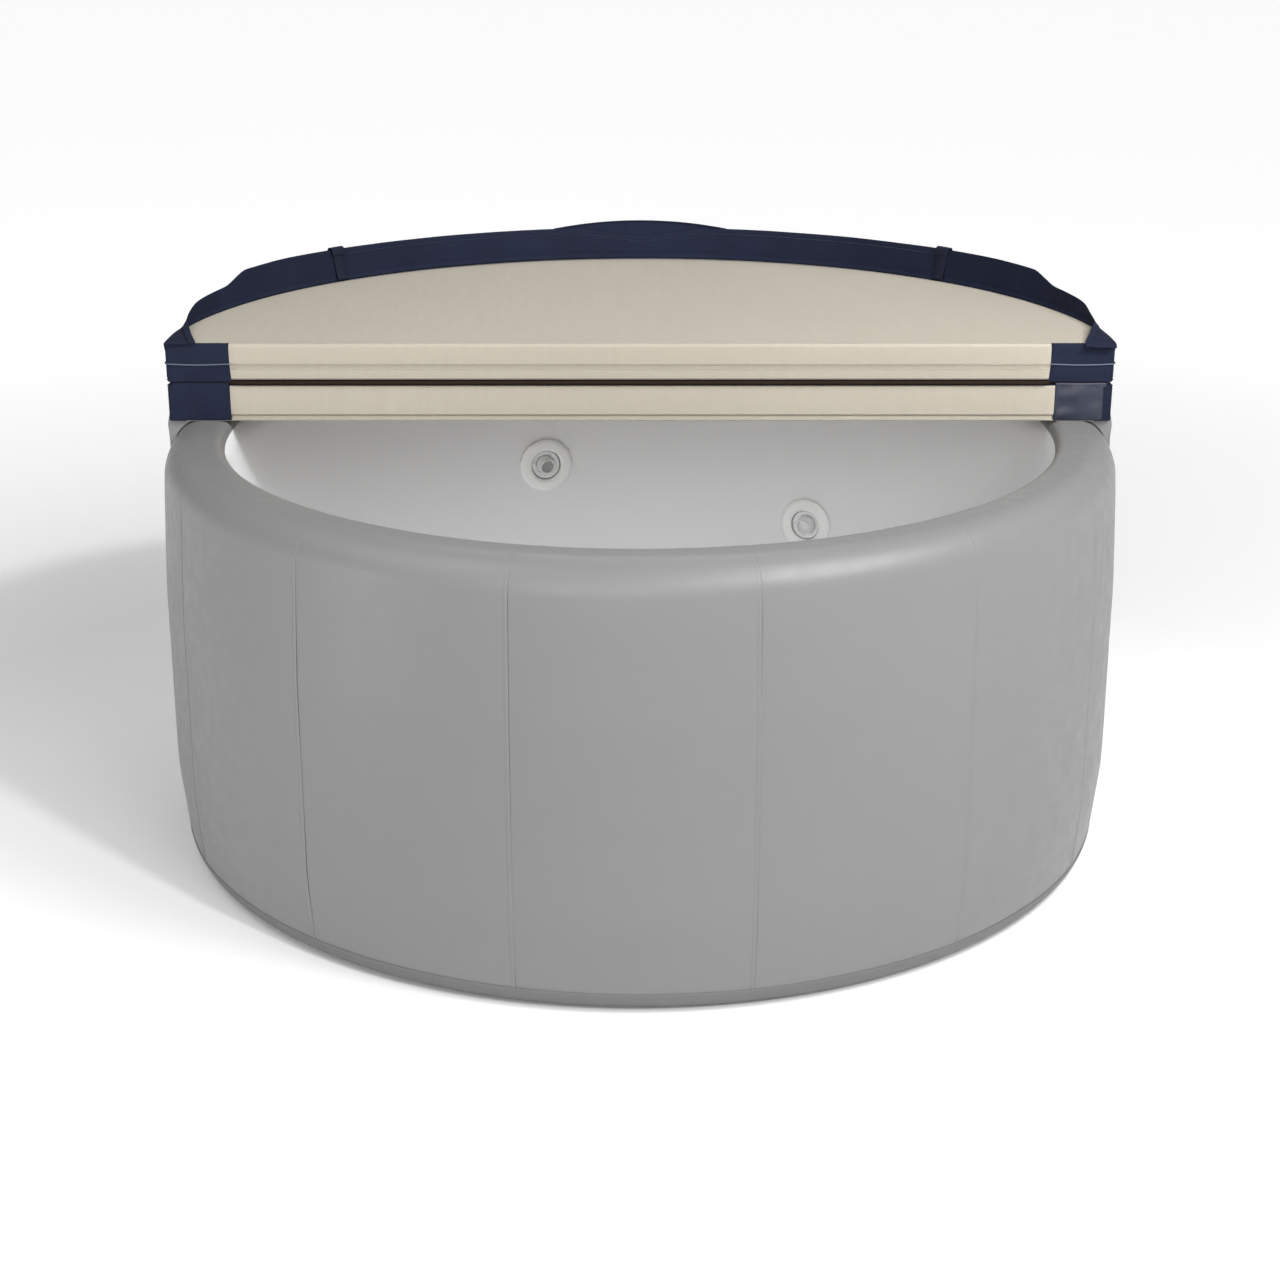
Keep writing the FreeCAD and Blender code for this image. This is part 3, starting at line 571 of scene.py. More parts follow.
def base():
    """The base skin, turned up round the foot and finished with a bead."""
    skin = [p for p in OUTER_PATH if p.y <= FOOT_TOP and p.x < 0.76 and (p.x > 0.70 or p.y < MM)]
    lap = outline_of((0.7418, FOOT_TOP + 0.0012), (0.7414, FOOT_TOP + 0.0020), (0.7404, FOOT_TOP + 0.0018))
    inside = outline_of(*((p.x - 0.0018, max(p.y, 0.0016)) for p in reversed(skin) if p.x > 0.66))
    outline = skin + lap + inside + outline_of((0.0, 0.0016))
    piece = turned_piece("base_skin_and_bead", outline, BASE, segments=360, sharp_deg=50)
    own(outward(piece), "tub", "base_vinyl", "base_skin")


def in_any(angle, height, fittings):
    """Whether a place on the well's wall is inside one of the round fittings."""
    return any(
        hypot((angle - radians(deg)) * WELL_RADIUS, height - level) < radius
        for deg, level, radius in fittings
    )


def liner():
    """The well's wall, with holes behind the flanges of its fittings."""
    foot = 0.0385
    fittings = [(deg, level, 0.036) for deg, level, _ in JETS] + [(*SUCTION, 0.050), (*DRAIN, 0.0185)]
    angles = set(round(radians(2.0 * k), 5) for k in range(180))
    levels = set(spread(foot, LINER_TOP - 0.0004, 16))
    for deg, level, radius in fittings:
        reach = radius + 0.012
        angles |= set(round(radians(deg) + d / WELL_RADIUS, 5) for d in spread(-reach, reach, 25))
        levels |= set(h for h in spread(level - reach, level + reach, 25) if h > foot)
    angles, levels = sorted(angles), sorted(levels)
    points = [round_tub(a, WELL_RADIUS + 0.00025 * ripple(a, h, 0.0, 6.0), h) for h in levels for a in angles]
    faces = []
    for corners in grid_faces(len(angles), len(levels), wrap=True):
        angle = angles[corners[0] % len(angles)]
        height = (levels[corners[0] // len(angles)] + levels[corners[2] // len(angles)]) / 2
        if not in_any(angle, height, fittings):
            faces.append(corners[::-1])
    piece = mesh_piece("liner_wall_sheet", points, faces, LINER)
    thicken(piece, VINYL)
    own(piece, "tub", "liner_vinyl", "liner_wall")


def liner_floor():
    """The well's floor, with a welded fillet up the wall and four shallow welded rings."""
    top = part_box("liner_floor")[1].z
    fillet = 0.0195
    outline = outline_of((0.0, top - 0.0012), (0.0, top - 0.0001))
    for radius in spread(0.02, 0.62, 151):
        ring = 0.0010 * exp(-((radius % 0.155 - 0.0775) / 0.006) ** 2)
        outline.append(Vector((radius, top - 0.0001 - ring)))
    for a in spread(0, pi / 2, 8):
        outline.append(Vector((0.628 + fillet * sin(a), top + fillet * (1 - cos(a)))))
    outline += outline_of((0.6487, top + fillet), (0.6487, top - 0.0012))
    piece = turned_piece("liner_floor_sheet", outline, LINER, segments=180, sharp_deg=50)
    own(outward(piece), "tub", "liner_vinyl", "liner_floor")


# ---- jets ----


def moulding(profile, steps):
    """A closed outline in metres from (radius, height, corner radius) points in millimetres."""
    return rounded([(r * MM, z * MM, c * MM) for r, z, c in profile], closed=True, steps=steps)


def jet_flange(number, deg, level):
    profile = [(28.2, 2.35, 0.2), (49.7, 2.35, 0.3), (49.9, 5.6, 2.2), (44.0, 8.4, 9.0)]
    profile += [(35.0, 9.0, 6.0), (31.6, 8.9, 1.0), (30.6, 7.6, 0.5), (28.2, 6.9, 0.5)]
    outline = moulding(profile, 5)
    place = wall_frame(deg, level)
    piece = turned_piece("jet_%d_rosette" % number, outline, JET_PLASTIC, place, 96, sharp_deg=50)
    own(outward(piece), "tub", "jet_plastic", "jet_%d_flange" % number)


def jet_dial(number, deg, level):
    """The ring that turns in the flange: a dished face with three finger lugs round the ball."""
    profile = [(12.2, -12.0, 0.0), (27.3, -12.0, 0.5), (27.3, -3.4, 0.3), (26.0, -3.0, 0.3), (26.0, 2.4, 0.8)]
    profile += [(24.4, 2.6, 0.9), (19.6, -0.4, 0.8), (17.7, -2.2, 0.5), (13.0, -11.2, 0.0)]
    place = wall_frame(deg, level)
    pieces = [turned_piece("dial_body", moulding(profile, 4), JET_PLASTIC, place, 96, sharp_deg=50)]
    lug = rounded([(-1.5, 0, 0.5), (1.5, 0, 0.5), (1.1, 3.4, 0.8), (-1.1, 3.4, 0.8)], closed=True, steps=3)
    count = len(lug)
    faces = grid_faces(count, 2, wrap=True) + end_caps(count, count)
    for k in range(3):
        turn = place @ Matrix.Rotation(radians(55 + 120 * k), 4, "Z")
        points = [turn @ Vector((r * MM, p.x * MM, (p.y + 0.2) * MM)) for r in (21.4, 26.6) for p in lug]
        pieces.append(mesh_piece("dial_lug", points, faces, JET_PLASTIC, 50))
    piece = outward(joined(pieces, "jet_%d_dial_ring" % number))
    own(piece, "jet_%d_dial" % number, "jet_plastic", "jet_%d_ring" % number)


def jet_ball(number, deg, level, lean_deg):
    """The eyeball with its short nozzle tube; the first of each pair has a grey disc in its mouth, painted
    shade for the bore, and the second has a spinner cone in its mouth.
    """
    body = "jet_%d_nozzle" % number
    ball = 16.7
    sphere = [(ball * cos(a), ball * sin(a)) for a in spread(-0.80, 0.55, 14)]
    tube = rounded([(14.2, 9.0, 0.0), (14.2, 13.4, 0.6), (12.2, 13.4, 0.5), (11.6, 1.0, 0.0)], steps=4)
    if number % 2:
        throat = [(11.4, 5.0), (0.0, 5.0)]
    else:
        throat = [(11.4, 8.0), (10.0, 8.4), (3.4, 12.6), (1.6, 13.3), (0.0, 13.5)]
    outline = [Vector(p) * MM for p in [(0.0, -12.0)] + sphere + tube + throat]
    lean = radians(lean_deg)
    axis = Vector((-sin(lean), cos(lean), 0))
    place = wall_frame(deg, level) @ Matrix.Rotation(JET_LEAN, 4, axis)
    piece = turned_piece("jet_%d_ball" % number, outline, NOZZLE_PLASTIC, place, 72, False, 45)
    own(outward(piece), body, "nozzle_plastic", "jet_%d_eyeball" % number)
    if number % 2:
        # A darker disc just inside the nozzle's mouth; its grey is painted shade for the bore.
        disc = [p * MM for p in outline_of((0.0, 9.2), (11.7, 9.2), (11.7, 10.0), (0.0, 10.0))]
        mouth = turned_piece("jet_%d_mouth" % number, disc, BORE_SHADE_PLASTIC, place, 48, False)
        own(outward(mouth), body, "nozzle_plastic")


# ---- cover halves ----


def arc_columns(radius, count):
    """X positions across a half disc, closer together towards its ends."""
    limit = acos(FOLD_Y / radius)
    return [radius * sin(a) for a in spread(-limit, limit, count)]


def disc_edge(radius, x):
    """How far back a half disc reaches at x."""
    return sqrt(max(radius**2 - x * x, FOLD_Y**2))


def turned_over(piece, low, high):
    for vertex in piece.data.vertices:
        vertex.co.z = low + high - vertex.co.z
    piece.data.flip_normals()
    return piece


def lining_sheet(name, floor, top, edge, face_rows, patch_edges, patch_slant, upside_down):
    """The pale lining: the broad face, rounded over the fold edge, and the fold face below it.

    The rear half's broad face is its underside, so it is drawn the same way and turned over."""
    turn = spread(0, pi / 2, 7)

    def place(x, v):
        far = disc_edge(LINING_RADIUS, x)
        wave = 0.0004 * ripple(x, 0.4 * v, 2.0 if upside_down else 5.0, 5.0)
        under = patch_edges[0 if x < 0 else 1] + patch_slant * min(1.0, v)
        tuck = 0.0045 * ease(under - 0.001, under + 0.006, abs(x))
        if v < 1:
            y, z = face_rows(v)
            return Vector((x, FOLD_Y + y + tuck, floor + (top - floor - edge) * z))
        if v < 2:
            a = turn[min(6, round((v - 1) * 6))]
            y = FOLD_Y + edge * (1 - cos(a)) + tuck * cos(a)
            return Vector((x, min(y, max(far, FOLD_Y + tuck)), top - edge + edge * sin(a)))
        t = v - 2
        start = min(FOLD_Y + edge, max(far, FOLD_Y + tuck))
        far = max(far, start)
        sag = 0.0006 * sin(pi * t) - 0.0012 * ease(0.985, 1.0, t)
        return Vector((x, start + (far - start) * t, top - abs(wave) - 0.0004 + sag))

    vs = spread(0, 0.83, 18) + spread(0.84, 0.88, 15) + spread(0.90, 0.98, 5)
    vs += [1 + k / 6 for k in range(6)] + [2 + t for t in spread(0, 1, 30)]
    piece = grid_piece(name, arc_columns(LINING_RADIUS, 121), vs, place, LINING, sharp_deg=50)
    if upside_down:
        turned_over(piece, floor, top)
    thicken(piece, 0.0009)
    return piece


def plain_face(v):
    """The fold face of the front half, which bulges a little."""
    return -0.0005 * sin(pi * min(v, 1)), v / 0.98


def bound_face(v):
    """The fold face of the rear half; a bound strip runs along the lining's edge, which is drawn topmost."""
    z = v / 0.98
    groove = 0.0095 * (ease(0.852, 0.858, z) - ease(0.878, 0.884, z))
    strip = 0.0030 * ease(0.878, 0.884, z)
    return groove + strip - 0.0005 * sin(pi * z), z


def edge_path(radius):
    """Plan of the edge band: (x, y, outward x, outward y), turned in over both ends of the fold face."""
    corner = 0.005
    half = [(x, FOLD_Y, 0.0, -1.0) for x in spread(radius - 0.026, radius - corner, 4)]
    half += corner_steps(radius, FOLD_Y, corner, spread(0.1, 0.9, 5))
    start = asin((FOLD_Y + corner) / radius)
    for angle in spread(start + 0.001, pi / 2, 91):
        half.append((radius * cos(angle), radius * sin(angle), cos(angle), sin(angle)))
    return half + [(-x, y, -nx, ny) for x, y, nx, ny in half[-2::-1]]


def vinyl_shell(name, low, high):
    """The navy vinyl of one half: its flat face and the band round its edge, which is bound over the lining.

    Drawn with the flat face down; the rear half turns it over."""
    width = BAND_RADIUS
    limit = asin(FOLD_Y / width)
    angles = spread(limit, pi - limit, 181)
    corners = [(-0.0016, low + 0.004, 0.0), (-0.0014, low + 0.0015, 0.0), (0.0, low + 0.004, 0.003)]
    lap = high + 0.0004
    corners += [(0.0, lap, 0.0016), (-0.0026, lap, 0.0003), (-0.0026, high - 0.0010, 0.0)]
    profile = rounded(corners, steps=5)
    path = edge_path(width)

    def band(station, row):
        x, y, nx, ny = path[station]
        point = profile[row]
        out = point.x - abs(0.0004 * ripple(atan2(y, x), point.y * 8, 1.0, 6.0))
        return Vector((x + nx * out, y + ny * out, point.y))

    stations = range(len(path))
    rows = range(len(profile))
    pieces = [grid_piece("band", stations, rows, band, NAVY, 0.0010, 50, uv_scale=(0.013, 0.003))]

    def flat(x, t):
        far = disc_edge(width - 0.0012, x)
        crown = 0.0003 * ripple(x, t, 3.0, 5.0)
        return Vector((x, FOLD_Y + 0.001 + (far - FOLD_Y - 0.001) * t, low + 0.0006 + abs(crown)))

    columns = arc_columns(width - 0.0012, 101)[::-1]
    pieces.append(grid_piece("flat", columns, spread(0, 1, 33), flat, NAVY, thickness=0.0012))
    path = [round_tub(a, width - 0.0022, low + 0.0022) for a in angles[3:-3]]
    pieces.append(tube_piece("welt", path, 0.0020, NAVY))
    return joined(pieces, name)


def cover_vinyl():
    front = vinyl_shell("front_cover_vinyl", FRONT_FLOOR, FRONT_TOP)
    rear = turned_over(vinyl_shell("rear_cover_vinyl", REAR_FLOOR, REAR_TOP), REAR_FLOOR, REAR_TOP)
    own(front, "cover_front", "navy_vinyl", "front_top")
    own(rear, "cover_rear", "navy_vinyl", "rear_top")


def foam_core(name, body, node):
    """The foam slab in one half, which stops short of the fold face."""
    low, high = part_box(node)
    radius = high.x - 0.0015
    face = FOLD_Y + 0.014
    limit = asin(face / radius)
    plan = [round_tub(angle, radius, 0.0) for angle in spread(limit, pi - limit, 121)]
    middle = Vector((0.0, 0.3, 0.0))
    rings = [(0.995, low.z + 0.0005), (1.0, low.z + 0.003), (1.0, high.z - 0.003), (0.995, high.z - 0.0005)]
    points = [middle + (point - middle) * scale + UP * z for scale, z in rings for point in plan]
    count = len(plan)
    faces = grid_faces(count, len(rings), wrap=True) + end_caps(count, len(points) - count)
    piece = mesh_piece(name, points, faces, FOAM, 50)
    own(piece, body, "foam", node)


def cover_linings():
    front_look = (plain_face, FRONT_PATCH_EDGES, FRONT_PATCH_SLANT, False)
    front = lining_sheet("front_cover_lining", FRONT_FLOOR + 0.0015, FRONT_TOP, 0.006, *front_look)
    rear_look = (bound_face, REAR_PATCH_EDGES, 0.0, True)
    rear = lining_sheet("rear_cover_lining", REAR_FLOOR, REAR_TOP - 0.0015, 0.002, *rear_look)
    own(front, "cover_front", "beige_lining", "front_lining")
    own(rear, "cover_rear", "beige_lining", "rear_lining")


def corner_steps(x, y, radius, turns):
    """A rounded corner of a plan, from the fold face to the side: (x, y, outward x, outward y)."""
    steps = []
    for share in turns:
        along, back = sin(share * pi / 2), cos(share * pi / 2)
        steps.append((x - radius * (1 - along), y + radius * (1 - back), along, -back))
    return steps


def patch_path(inner_x, outer_x, wrap):
    """Plan of a corner patch: across the fold face, round the corner and back along the edge band."""
    corner = 0.006
    face = PATCH_FACE
    edge = BAND_RADIUS + 0.0003
    steps = [(x, face, 0.0, -1.0) for x in spread(inner_x, outer_x - corner, PATCH_COLUMNS)]
    steps += corner_steps(outer_x, face, corner, spread(0.1, 0.9, 7))
    for y in spread(face + corner + 0.001, face + wrap, 12):
        side = sqrt(edge**2 - y * y)
        closing = 1 - ease(face + corner, face + 0.8 * wrap, y)
        gap = max(0.0, edge - 0.0006 - outer_x) * closing
        steps.append((side - gap, y, cos(y / edge), sin(y / edge)))
    return steps


def corner_patch(name, side, low, high, plan, slant, puff, crumple, material):
    """A navy patch over a corner of the fold face, puffed and lightly crumpled, with its edges turned in."""
    path = patch_path(*plan)
    height = high - low
    turn_in, radius = 0.0035, 0.0022
    lip = [(turn_in, 0.0), (radius, 0.0)]
    lip += [(radius * (1 - sin(a)), radius * (1 - cos(a)) / height) for a in (0.4, 0.9, 1.3)]
    rows = lip + [(0.0, t) for t in spread(radius / height, 1 - radius / height, 26)]
    rows += [(inset, 1 - t) for inset, t in reversed(lip)]

    def place(column, row):
        x, y, nx, ny = path[column]
        inset, t = rows[row]
        z = low + height * t
        across = min(1.0, column / (PATCH_COLUMNS - 1))
        hollow = 0.0014 * (1 - ease(0.0, 0.03, across))
        cushion = puff * (max(0.0, 16 * across * (1 - across) * t * (1 - t))) ** 0.55
        folds = crumple * (ripple(x, z * 1.8, side * 3.0, 24.0) + 0.4 * ripple(x, z, side + 7.0, 60.0))
        edges = ease(0, 0.15, across) * ease(0, 0.1, 1 - across)
        folds *= edges * ease(0, 0.12, t * (1 - t))
        out = min(cushion + folds, PATCH_FACE - 0.0003) - inset - hollow
        return Vector((side * (x + slant * t * (1 - across) + nx * out), y + ny * out, z))

    columns = range(len(path)) if side > 0 else range(len(path) - 1, -1, -1)
    cell = (0.1 / PATCH_COLUMNS, height / len(rows))
    return grid_piece(name, columns, range(len(rows)), place, material, 0.0010, 60, uv_scale=cell)


def patch_piping(name, side, z, sag):
    """A pale bead welded across a patch."""
    path = []
    for x, y, nx, ny in patch_path(PATCH_INNER_X + 0.001, BAND_RADIUS - 0.0006, 0.035):
        droop = sag * sin(pi * min(1.0, max(0.0, (x - PATCH_INNER_X) / 0.1)))
        path.append(Vector((side * (x + nx * 0.0019), y + ny * 0.0019, z - droop)))
    return tube_piece(name, path, 0.0011, PIPING)


def corner_patches():
    """Flat patches on the front half's corners, and fuller, pillowed ones on the rear half's."""
    left_low = ((REAR_PATCH_EDGES[0], 0.7400, 0.040), 0.0005, 0.0020, 0.0010, NAVY)
    right_low = ((REAR_PATCH_EDGES[1], 0.7385, 0.040), 0.0005, 0.0016, 0.0022, NAVY_SOFT)
    for side, word, edge, low_looks in ((-1, "left", 0, left_low), (1, "right", 1, right_low)):
        plan = (FRONT_PATCH_EDGES[edge], BAND_RADIUS - 0.0006, 0.055)
        looks = (plan, FRONT_PATCH_SLANT, 0.0014, 0.0007, NAVY)
        top = corner_patch("front_patch_" + word, side, HINGE_Z + 0.0003, FRONT_TOP + 0.0006, *looks)
        own(top, "cover_front", "navy_vinyl", "front_corner_patches")
        own(patch_piping("front_patch_bead_" + word, side, 0.7432, 0.0015), "cover_front", "navy_vinyl")
        low = corner_patch("rear_patch_" + word, side, REAR_FLOOR + 0.0002, HINGE_Z - 0.0004, *low_looks)
        own(low, "cover_rear", "navy_vinyl", "rear_corner_patches")


def seam_tape():
    """A raised tape with two weld lines along the front half's fold face."""
    low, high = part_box("front_seam_tape")[0].z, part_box("front_seam_tape")[1].z
    section = [(0.0008, low), (-0.0003, low + 0.0006), (-0.0005, low + 0.0030)]
    for groove in (low + 0.0032, low + 0.0072):
        section += [(0.0034, groove), (0.0034, groove + 0.0011), (-0.0005, groove + 0.0013)]
        section += [(-0.0006, groove + 0.0024)]
    section[-1:] = [(-0.0014, high - 0.0018), (-0.0015, high - 0.0005), (0.0008, high)]
    half = PATCH_INNER_X - 0.0006

    def place(x, row):
        y, z = section[row]
        return Vector((x, FOLD_Y - 0.0006 + y, z + 0.0003 * ripple(x, 0.0, 4.0, 6.0)))

    xs = spread(-half, half, 90)
    piece = grid_piece("fold_seam_tape", xs, range(len(section)), place, LINING, 0.0004, 30)
    own(piece, "cover_front", "beige_lining", "front_seam_tape")


def hinge_cloth():
    """The cloth hinge: it lies on both halves and loops through the gap between them."""
    half = BAND_RADIUS - 0.012
    radius = (FRONT_FLOOR - REAR_TOP) / 2 - 0.0011
    flat = [(y, -radius) for y in spread(0.034, 0.004, 8)]
    loop = [(0.0018 - 0.0038 * sin(a), -radius * cos(a)) for a in spread(0.05, pi - 0.05, 13)]
    outline = flat + loop + [(y, -z) for y, z in reversed(flat)]

    def place(x, row):
        y, z = outline[row]
        under = 0.008 * ease(PATCH_INNER_X - 0.005, PATCH_INNER_X + 0.004, abs(x))
        under *= 1 - ease(0.004, 0.030, y)
        return Vector((x, y + under + 0.0003 * ripple(x, 0.0, 8.0, 20.0), HINGE_Z + z))

    xs = spread(-half, half, 301)
    rows = range(len(outline))
    piece = grid_piece("hinge_cloth", xs, rows, place, HINGE, 0.0007, uv_scale=(1.0, 0.003), flip=True)
    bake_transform(piece)
    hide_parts("hinge_strip")


# ---- skirts ----

# Width of a degree of skirt and height of a row of its grid
SKIRT_CELL = (radians(1) * SKIRT_RADIUS, 0.004)
LOOP_DEG = 44.2
SKIRT_SEAMS_DEG = (44.0, 136.0)
STRAP_WIDTH = 0.0200
CAP_WIDTH = 0.0275
STITCH_PITCH = 0.0055
STITCHES_BELOW_HEM = 0.009
STITCHES_DEG = (45.0, 135.0)
# Length of cloth from the crease to the hem, by degrees from the nearer end of the skirt
HEM_KNOTS = [(13.8, 0.0262), (16.0, 0.0300), (22.6, 0.0345), (26.6, 0.0525)]
HEM_KNOTS += [(34.0, 0.0545), (50.0, 0.0535), (81.5, 0.0535), (90.0, 0.0370)]
END_LENGTH_LEFT = [(0.0, 0.0490), (5.0, 0.0290), (8.4, 0.0150), (10.0, 0.0160), (12.3, 0.0210)]
END_LENGTH_RIGHT = [(0.0, 0.0480), (4.0, 0.0315), (8.5, 0.0145), (10.4, 0.0145), (12.3, 0.0195)]
# How far the cloth leans in at each end, in degrees from upright
END_LEAN_LEFT = [(0.0, 90.0), (5.0, 86.0), (8.2, 62.0), (10.0, 22.0), (12.0, 4.0), (13.8, -2.0)]
END_LEAN_RIGHT = [(0.0, 89.0), (4.0, 80.0), (8.5, 40.0), (10.4, 18.0), (12.3, 4.0), (13.8, -2.0)]

def from_end(deg):
    """Degrees from the nearer end of a skirt."""
    return min(deg, 180 - deg)


def hem_height(deg):
    ends = END_LENGTH_RIGHT if deg < 90 else END_LENGTH_LEFT
    return softened(ends + HEM_KNOTS, from_end(deg), 0.8)


def skirt_lean(deg):
    return softened(END_LEAN_RIGHT if deg < 90 else END_LEAN_LEFT, from_end(deg), 0.8)


def crease_radius(deg):
    return SKIRT_RADIUS - 0.0024 * (1 - ease(0.0, 9.0, from_end(deg)))


def skirt_point(deg, up, out):
    """A point on the skirt: `up` along the cloth from its foot and `out` from its outer face."""
    near = from_end(deg)
    lean = radians(skirt_lean(deg))
    flat = max(0.0, sin(lean))
    angle = radians(deg)
    share = up / 0.055
    sway = 0.0015 * share * ripple(cos(angle), sin(angle), 0.0, 9.0) * ease(14, 20, near)
    foot = 0.0036 * (1 - ease(0.0, 0.0045, up)) * (1 - flat)
    inward = up * sin(lean) - (out + sway) * cos(lean) + foot
    droop = 0.0045 * ease(0.0, -0.8, near)
    rise = up * cos(lean) + (out + sway) * sin(lean) + 0.0012 * flat - droop
    return round_tub(angle, crease_radius(deg) - inward, SKIRT_FOOT + rise)


def arch(top, rise, middle, reach, lead, count):
    """(up, out) points over the hem, from the outer face to the inner."""
    return [(top + rise * sin(a), middle - reach * cos(a)) for a in spread(lead, pi - lead, count)]


def skirt_section(deg):
    """The cloth's path up to the hem and down its folded back, as (up, out)."""
    height = hem_height(deg)
    fold = min(HEM_FOLD, 0.55 * height)
    bead = 0.0011
    path = [(height * t**1.5, 0.0) for t in spread(0, 1, 16)]
    path += [(height + bead * sin(a), bead * (1 - cos(a))) for a in spread(0.4, pi - 0.4, 5)]
    path += [(height - fold * t, 2 * bead) for t in spread(0, 1, 5)]
    return path


def skirt_sheet(name, start_deg, end_deg, step_deg):
    """A length of skirt, and the area of cloth in it."""
    degs = spread(start_deg, end_deg, max(8, round(abs(end_deg - start_deg) / step_deg) + 1))
    sections = {deg: skirt_section(deg) for deg in degs}
    rows = range(len(sections[degs[0]]))

    def place(deg, row):
        return skirt_point(deg, *sections[deg][row])

    piece = grid_piece(name, degs[::-1], rows, place, NAVY, uv_scale=SKIRT_CELL)
    cloth = sum(face.area for face in piece.data.polygons)
    thicken(piece, 0.0009)
    return piece, cloth


def front_skirt():
    """The front half's skirt, in a middle length and two ends that turn in over the lining."""
    first, last = SKIRT_SEAMS_DEG
    middle, _ = skirt_sheet("front_skirt_middle", first, last, 0.5)
    own(middle, "cover_front", "navy_vinyl", "front_skirt")
    for word, start, end, side in (("right", -0.9, first, 1), ("left", last, 180.25, -1)):
        piece, cloth = skirt_sheet("front_skirt_" + word, start, end, 0.3)
        crease_far = round_tub(radians(13.6), SKIRT_RADIUS, SKIRT_FOOT)
        crease_near = round_tub(radians(9.4), SKIRT_RADIUS, SKIRT_FOOT)
        crease_far.x *= side
        crease_near.x *= side
        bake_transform(piece)
        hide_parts("skirt_flap_" + word)


def skirt_foot():
    """The strip that joins the skirt to the edge band."""
    section = [(-0.0010, -0.012), (0.0002, -0.006), (0.0006, -0.0015), (0.0009, 0.0045)]

    def place(deg, row):
        out, up = section[row]
        if up > 0:
            up *= 1 - max(0.0, sin(radians(skirt_lean(deg))))
        return round_tub(radians(deg), crease_radius(deg) + out, SKIRT_FOOT + up)

    degs = spread(0.3, 179.7, 240)[::-1]
    rows = range(len(section))
    piece = grid_piece("front_skirt_foot", degs, rows, place, NAVY, 0.0008, uv_scale=SKIRT_CELL)
    own(piece, "cover_front", "navy_vinyl")


def stitches():
    """A line of short raised stitches along the hem."""
    points, faces = [], []
    pitch_deg = degrees(STITCH_PITCH / SKIRT_RADIUS)
    for k in range(int((STITCHES_DEG[1] - STITCHES_DEG[0]) / pitch_deg)):
        deg = STITCHES_DEG[0] + k * pitch_deg
        up = hem_height(deg) - STITCHES_BELOW_HEM
        first = len(points)
        for step in (-0.36, -0.22, 0.22, 0.36):
            here = deg + step * pitch_deg
            thick = 0.00035 if abs(step) < 0.3 else 0.0001
            for du, depth in ((-thick, 0), (0, thick * 1.6), (thick, 0)):
                points.append(skirt_point(here, up + du, -0.0009 - depth))
        faces += [tuple(first + k for k in corners) for corners in grid_faces(3, 4)]
    piece = mesh_piece("skirt_stitching", points, faces, PIPING, 60)
    thicken(piece, 0.0004)
    own(piece, "cover_front", "navy_vinyl")


def grab_flap():
    """An arched flap on the outside of the hem."""
    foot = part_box("grab_flap")[0].z
    half_width = 0.160

    def place(x, t):
        top = 0.8290 + 0.0125 * (1 - (x / half_width) ** 2)
        z = foot + (top - foot) * t
        radius = SKIRT_RADIUS + 0.0036 + 0.0012 * ripple(x, z, 9.0, 14.0) * t + 0.0008 * t
        return Vector((-x, sqrt(radius**2 - x * x), z))

    us = spread(-half_width, half_width, 70)
    ts = spread(0, 1, 16)
    piece = grid_piece("grab_flap_cloth", us, ts, place, NAVY, 0.0016, uv_scale=(1.0, 0.06), flip=True)
    edge = [place(x, 1.0) + Vector((0, -0.0008, 0.0)) for x in us]
    piece = joined([piece, tube_piece("grab_flap_edge", edge, 0.0014, NAVY)], "grab_flap_cloth")
    own(piece, "cover_front", "navy_vinyl", "grab_flap")


def lifting_loop(word, deg):
    """A webbing loop over the hem: a strap down both faces of the skirt, under a wider cap."""
    hem = hem_height(deg)
    side = -1 if word == "left" else 1
    leg = [(up, -0.0040 + 0.0012 * sin(40 * up)) for up in spread(0.0015, hem - 0.001, 12)]
    over = arch(hem, 0.0034, 0.0011, 0.0046, 0.2, 7)
    back = [(up, 0.0056) for up in spread(hem - 0.004, 0.008, 6)]
    cap = [(up, -0.0058) for up in (hem - 0.0090, hem - 0.0085, hem - 0.004)]
    cap += arch(hem, 0.0052, 0.0011, 0.0066, 0.15, 9)
    cap += [(up, 0.0078) for up in (hem - 0.006, hem - 0.012, hem - 0.018)]
    straps = []
    for name, path, width in (("strap", leg + over + back, STRAP_WIDTH), ("cap", cap, CAP_WIDTH)):

        def place(across, row):
            up, out = path[row]
            around = across * width + side * 0.12 * (hem - up)
            crown = 0.0007 * cos(across * pi) * (-1 if out < 0 else 1)
            return skirt_point(deg + degrees(around / SKIRT_RADIUS), up, out + crown)

        xs = spread(0.5, -0.5, 17)
        straps.append(grid_piece(name, xs, range(len(path)), place, WEBBING, 0.0012, uv_scale=(width, 0.006)))
    piece = joined(straps, "lifting_loop_" + word)
    own(piece, "cover_front", "webbing", "lifting_loops")


# Height and radius, from the hem up
REAR_SKIRT_LINE = [(0.5890, 0.7512), (0.6050, 0.7500), (0.6270, 0.7503), (0.6435, 0.7515)]
REAR_SKIRT_LINE += [(0.6545, 0.7490), (0.6600, 0.7476), (0.6640, 0.7474)]


def shoulder_radius(z):
    """The tub's outer radius at a height on its upper half."""
    return between(sorted((p.y, p.x) for p in OUTER_PATH if p.x > 0.692 and p.y > 0.2), z)


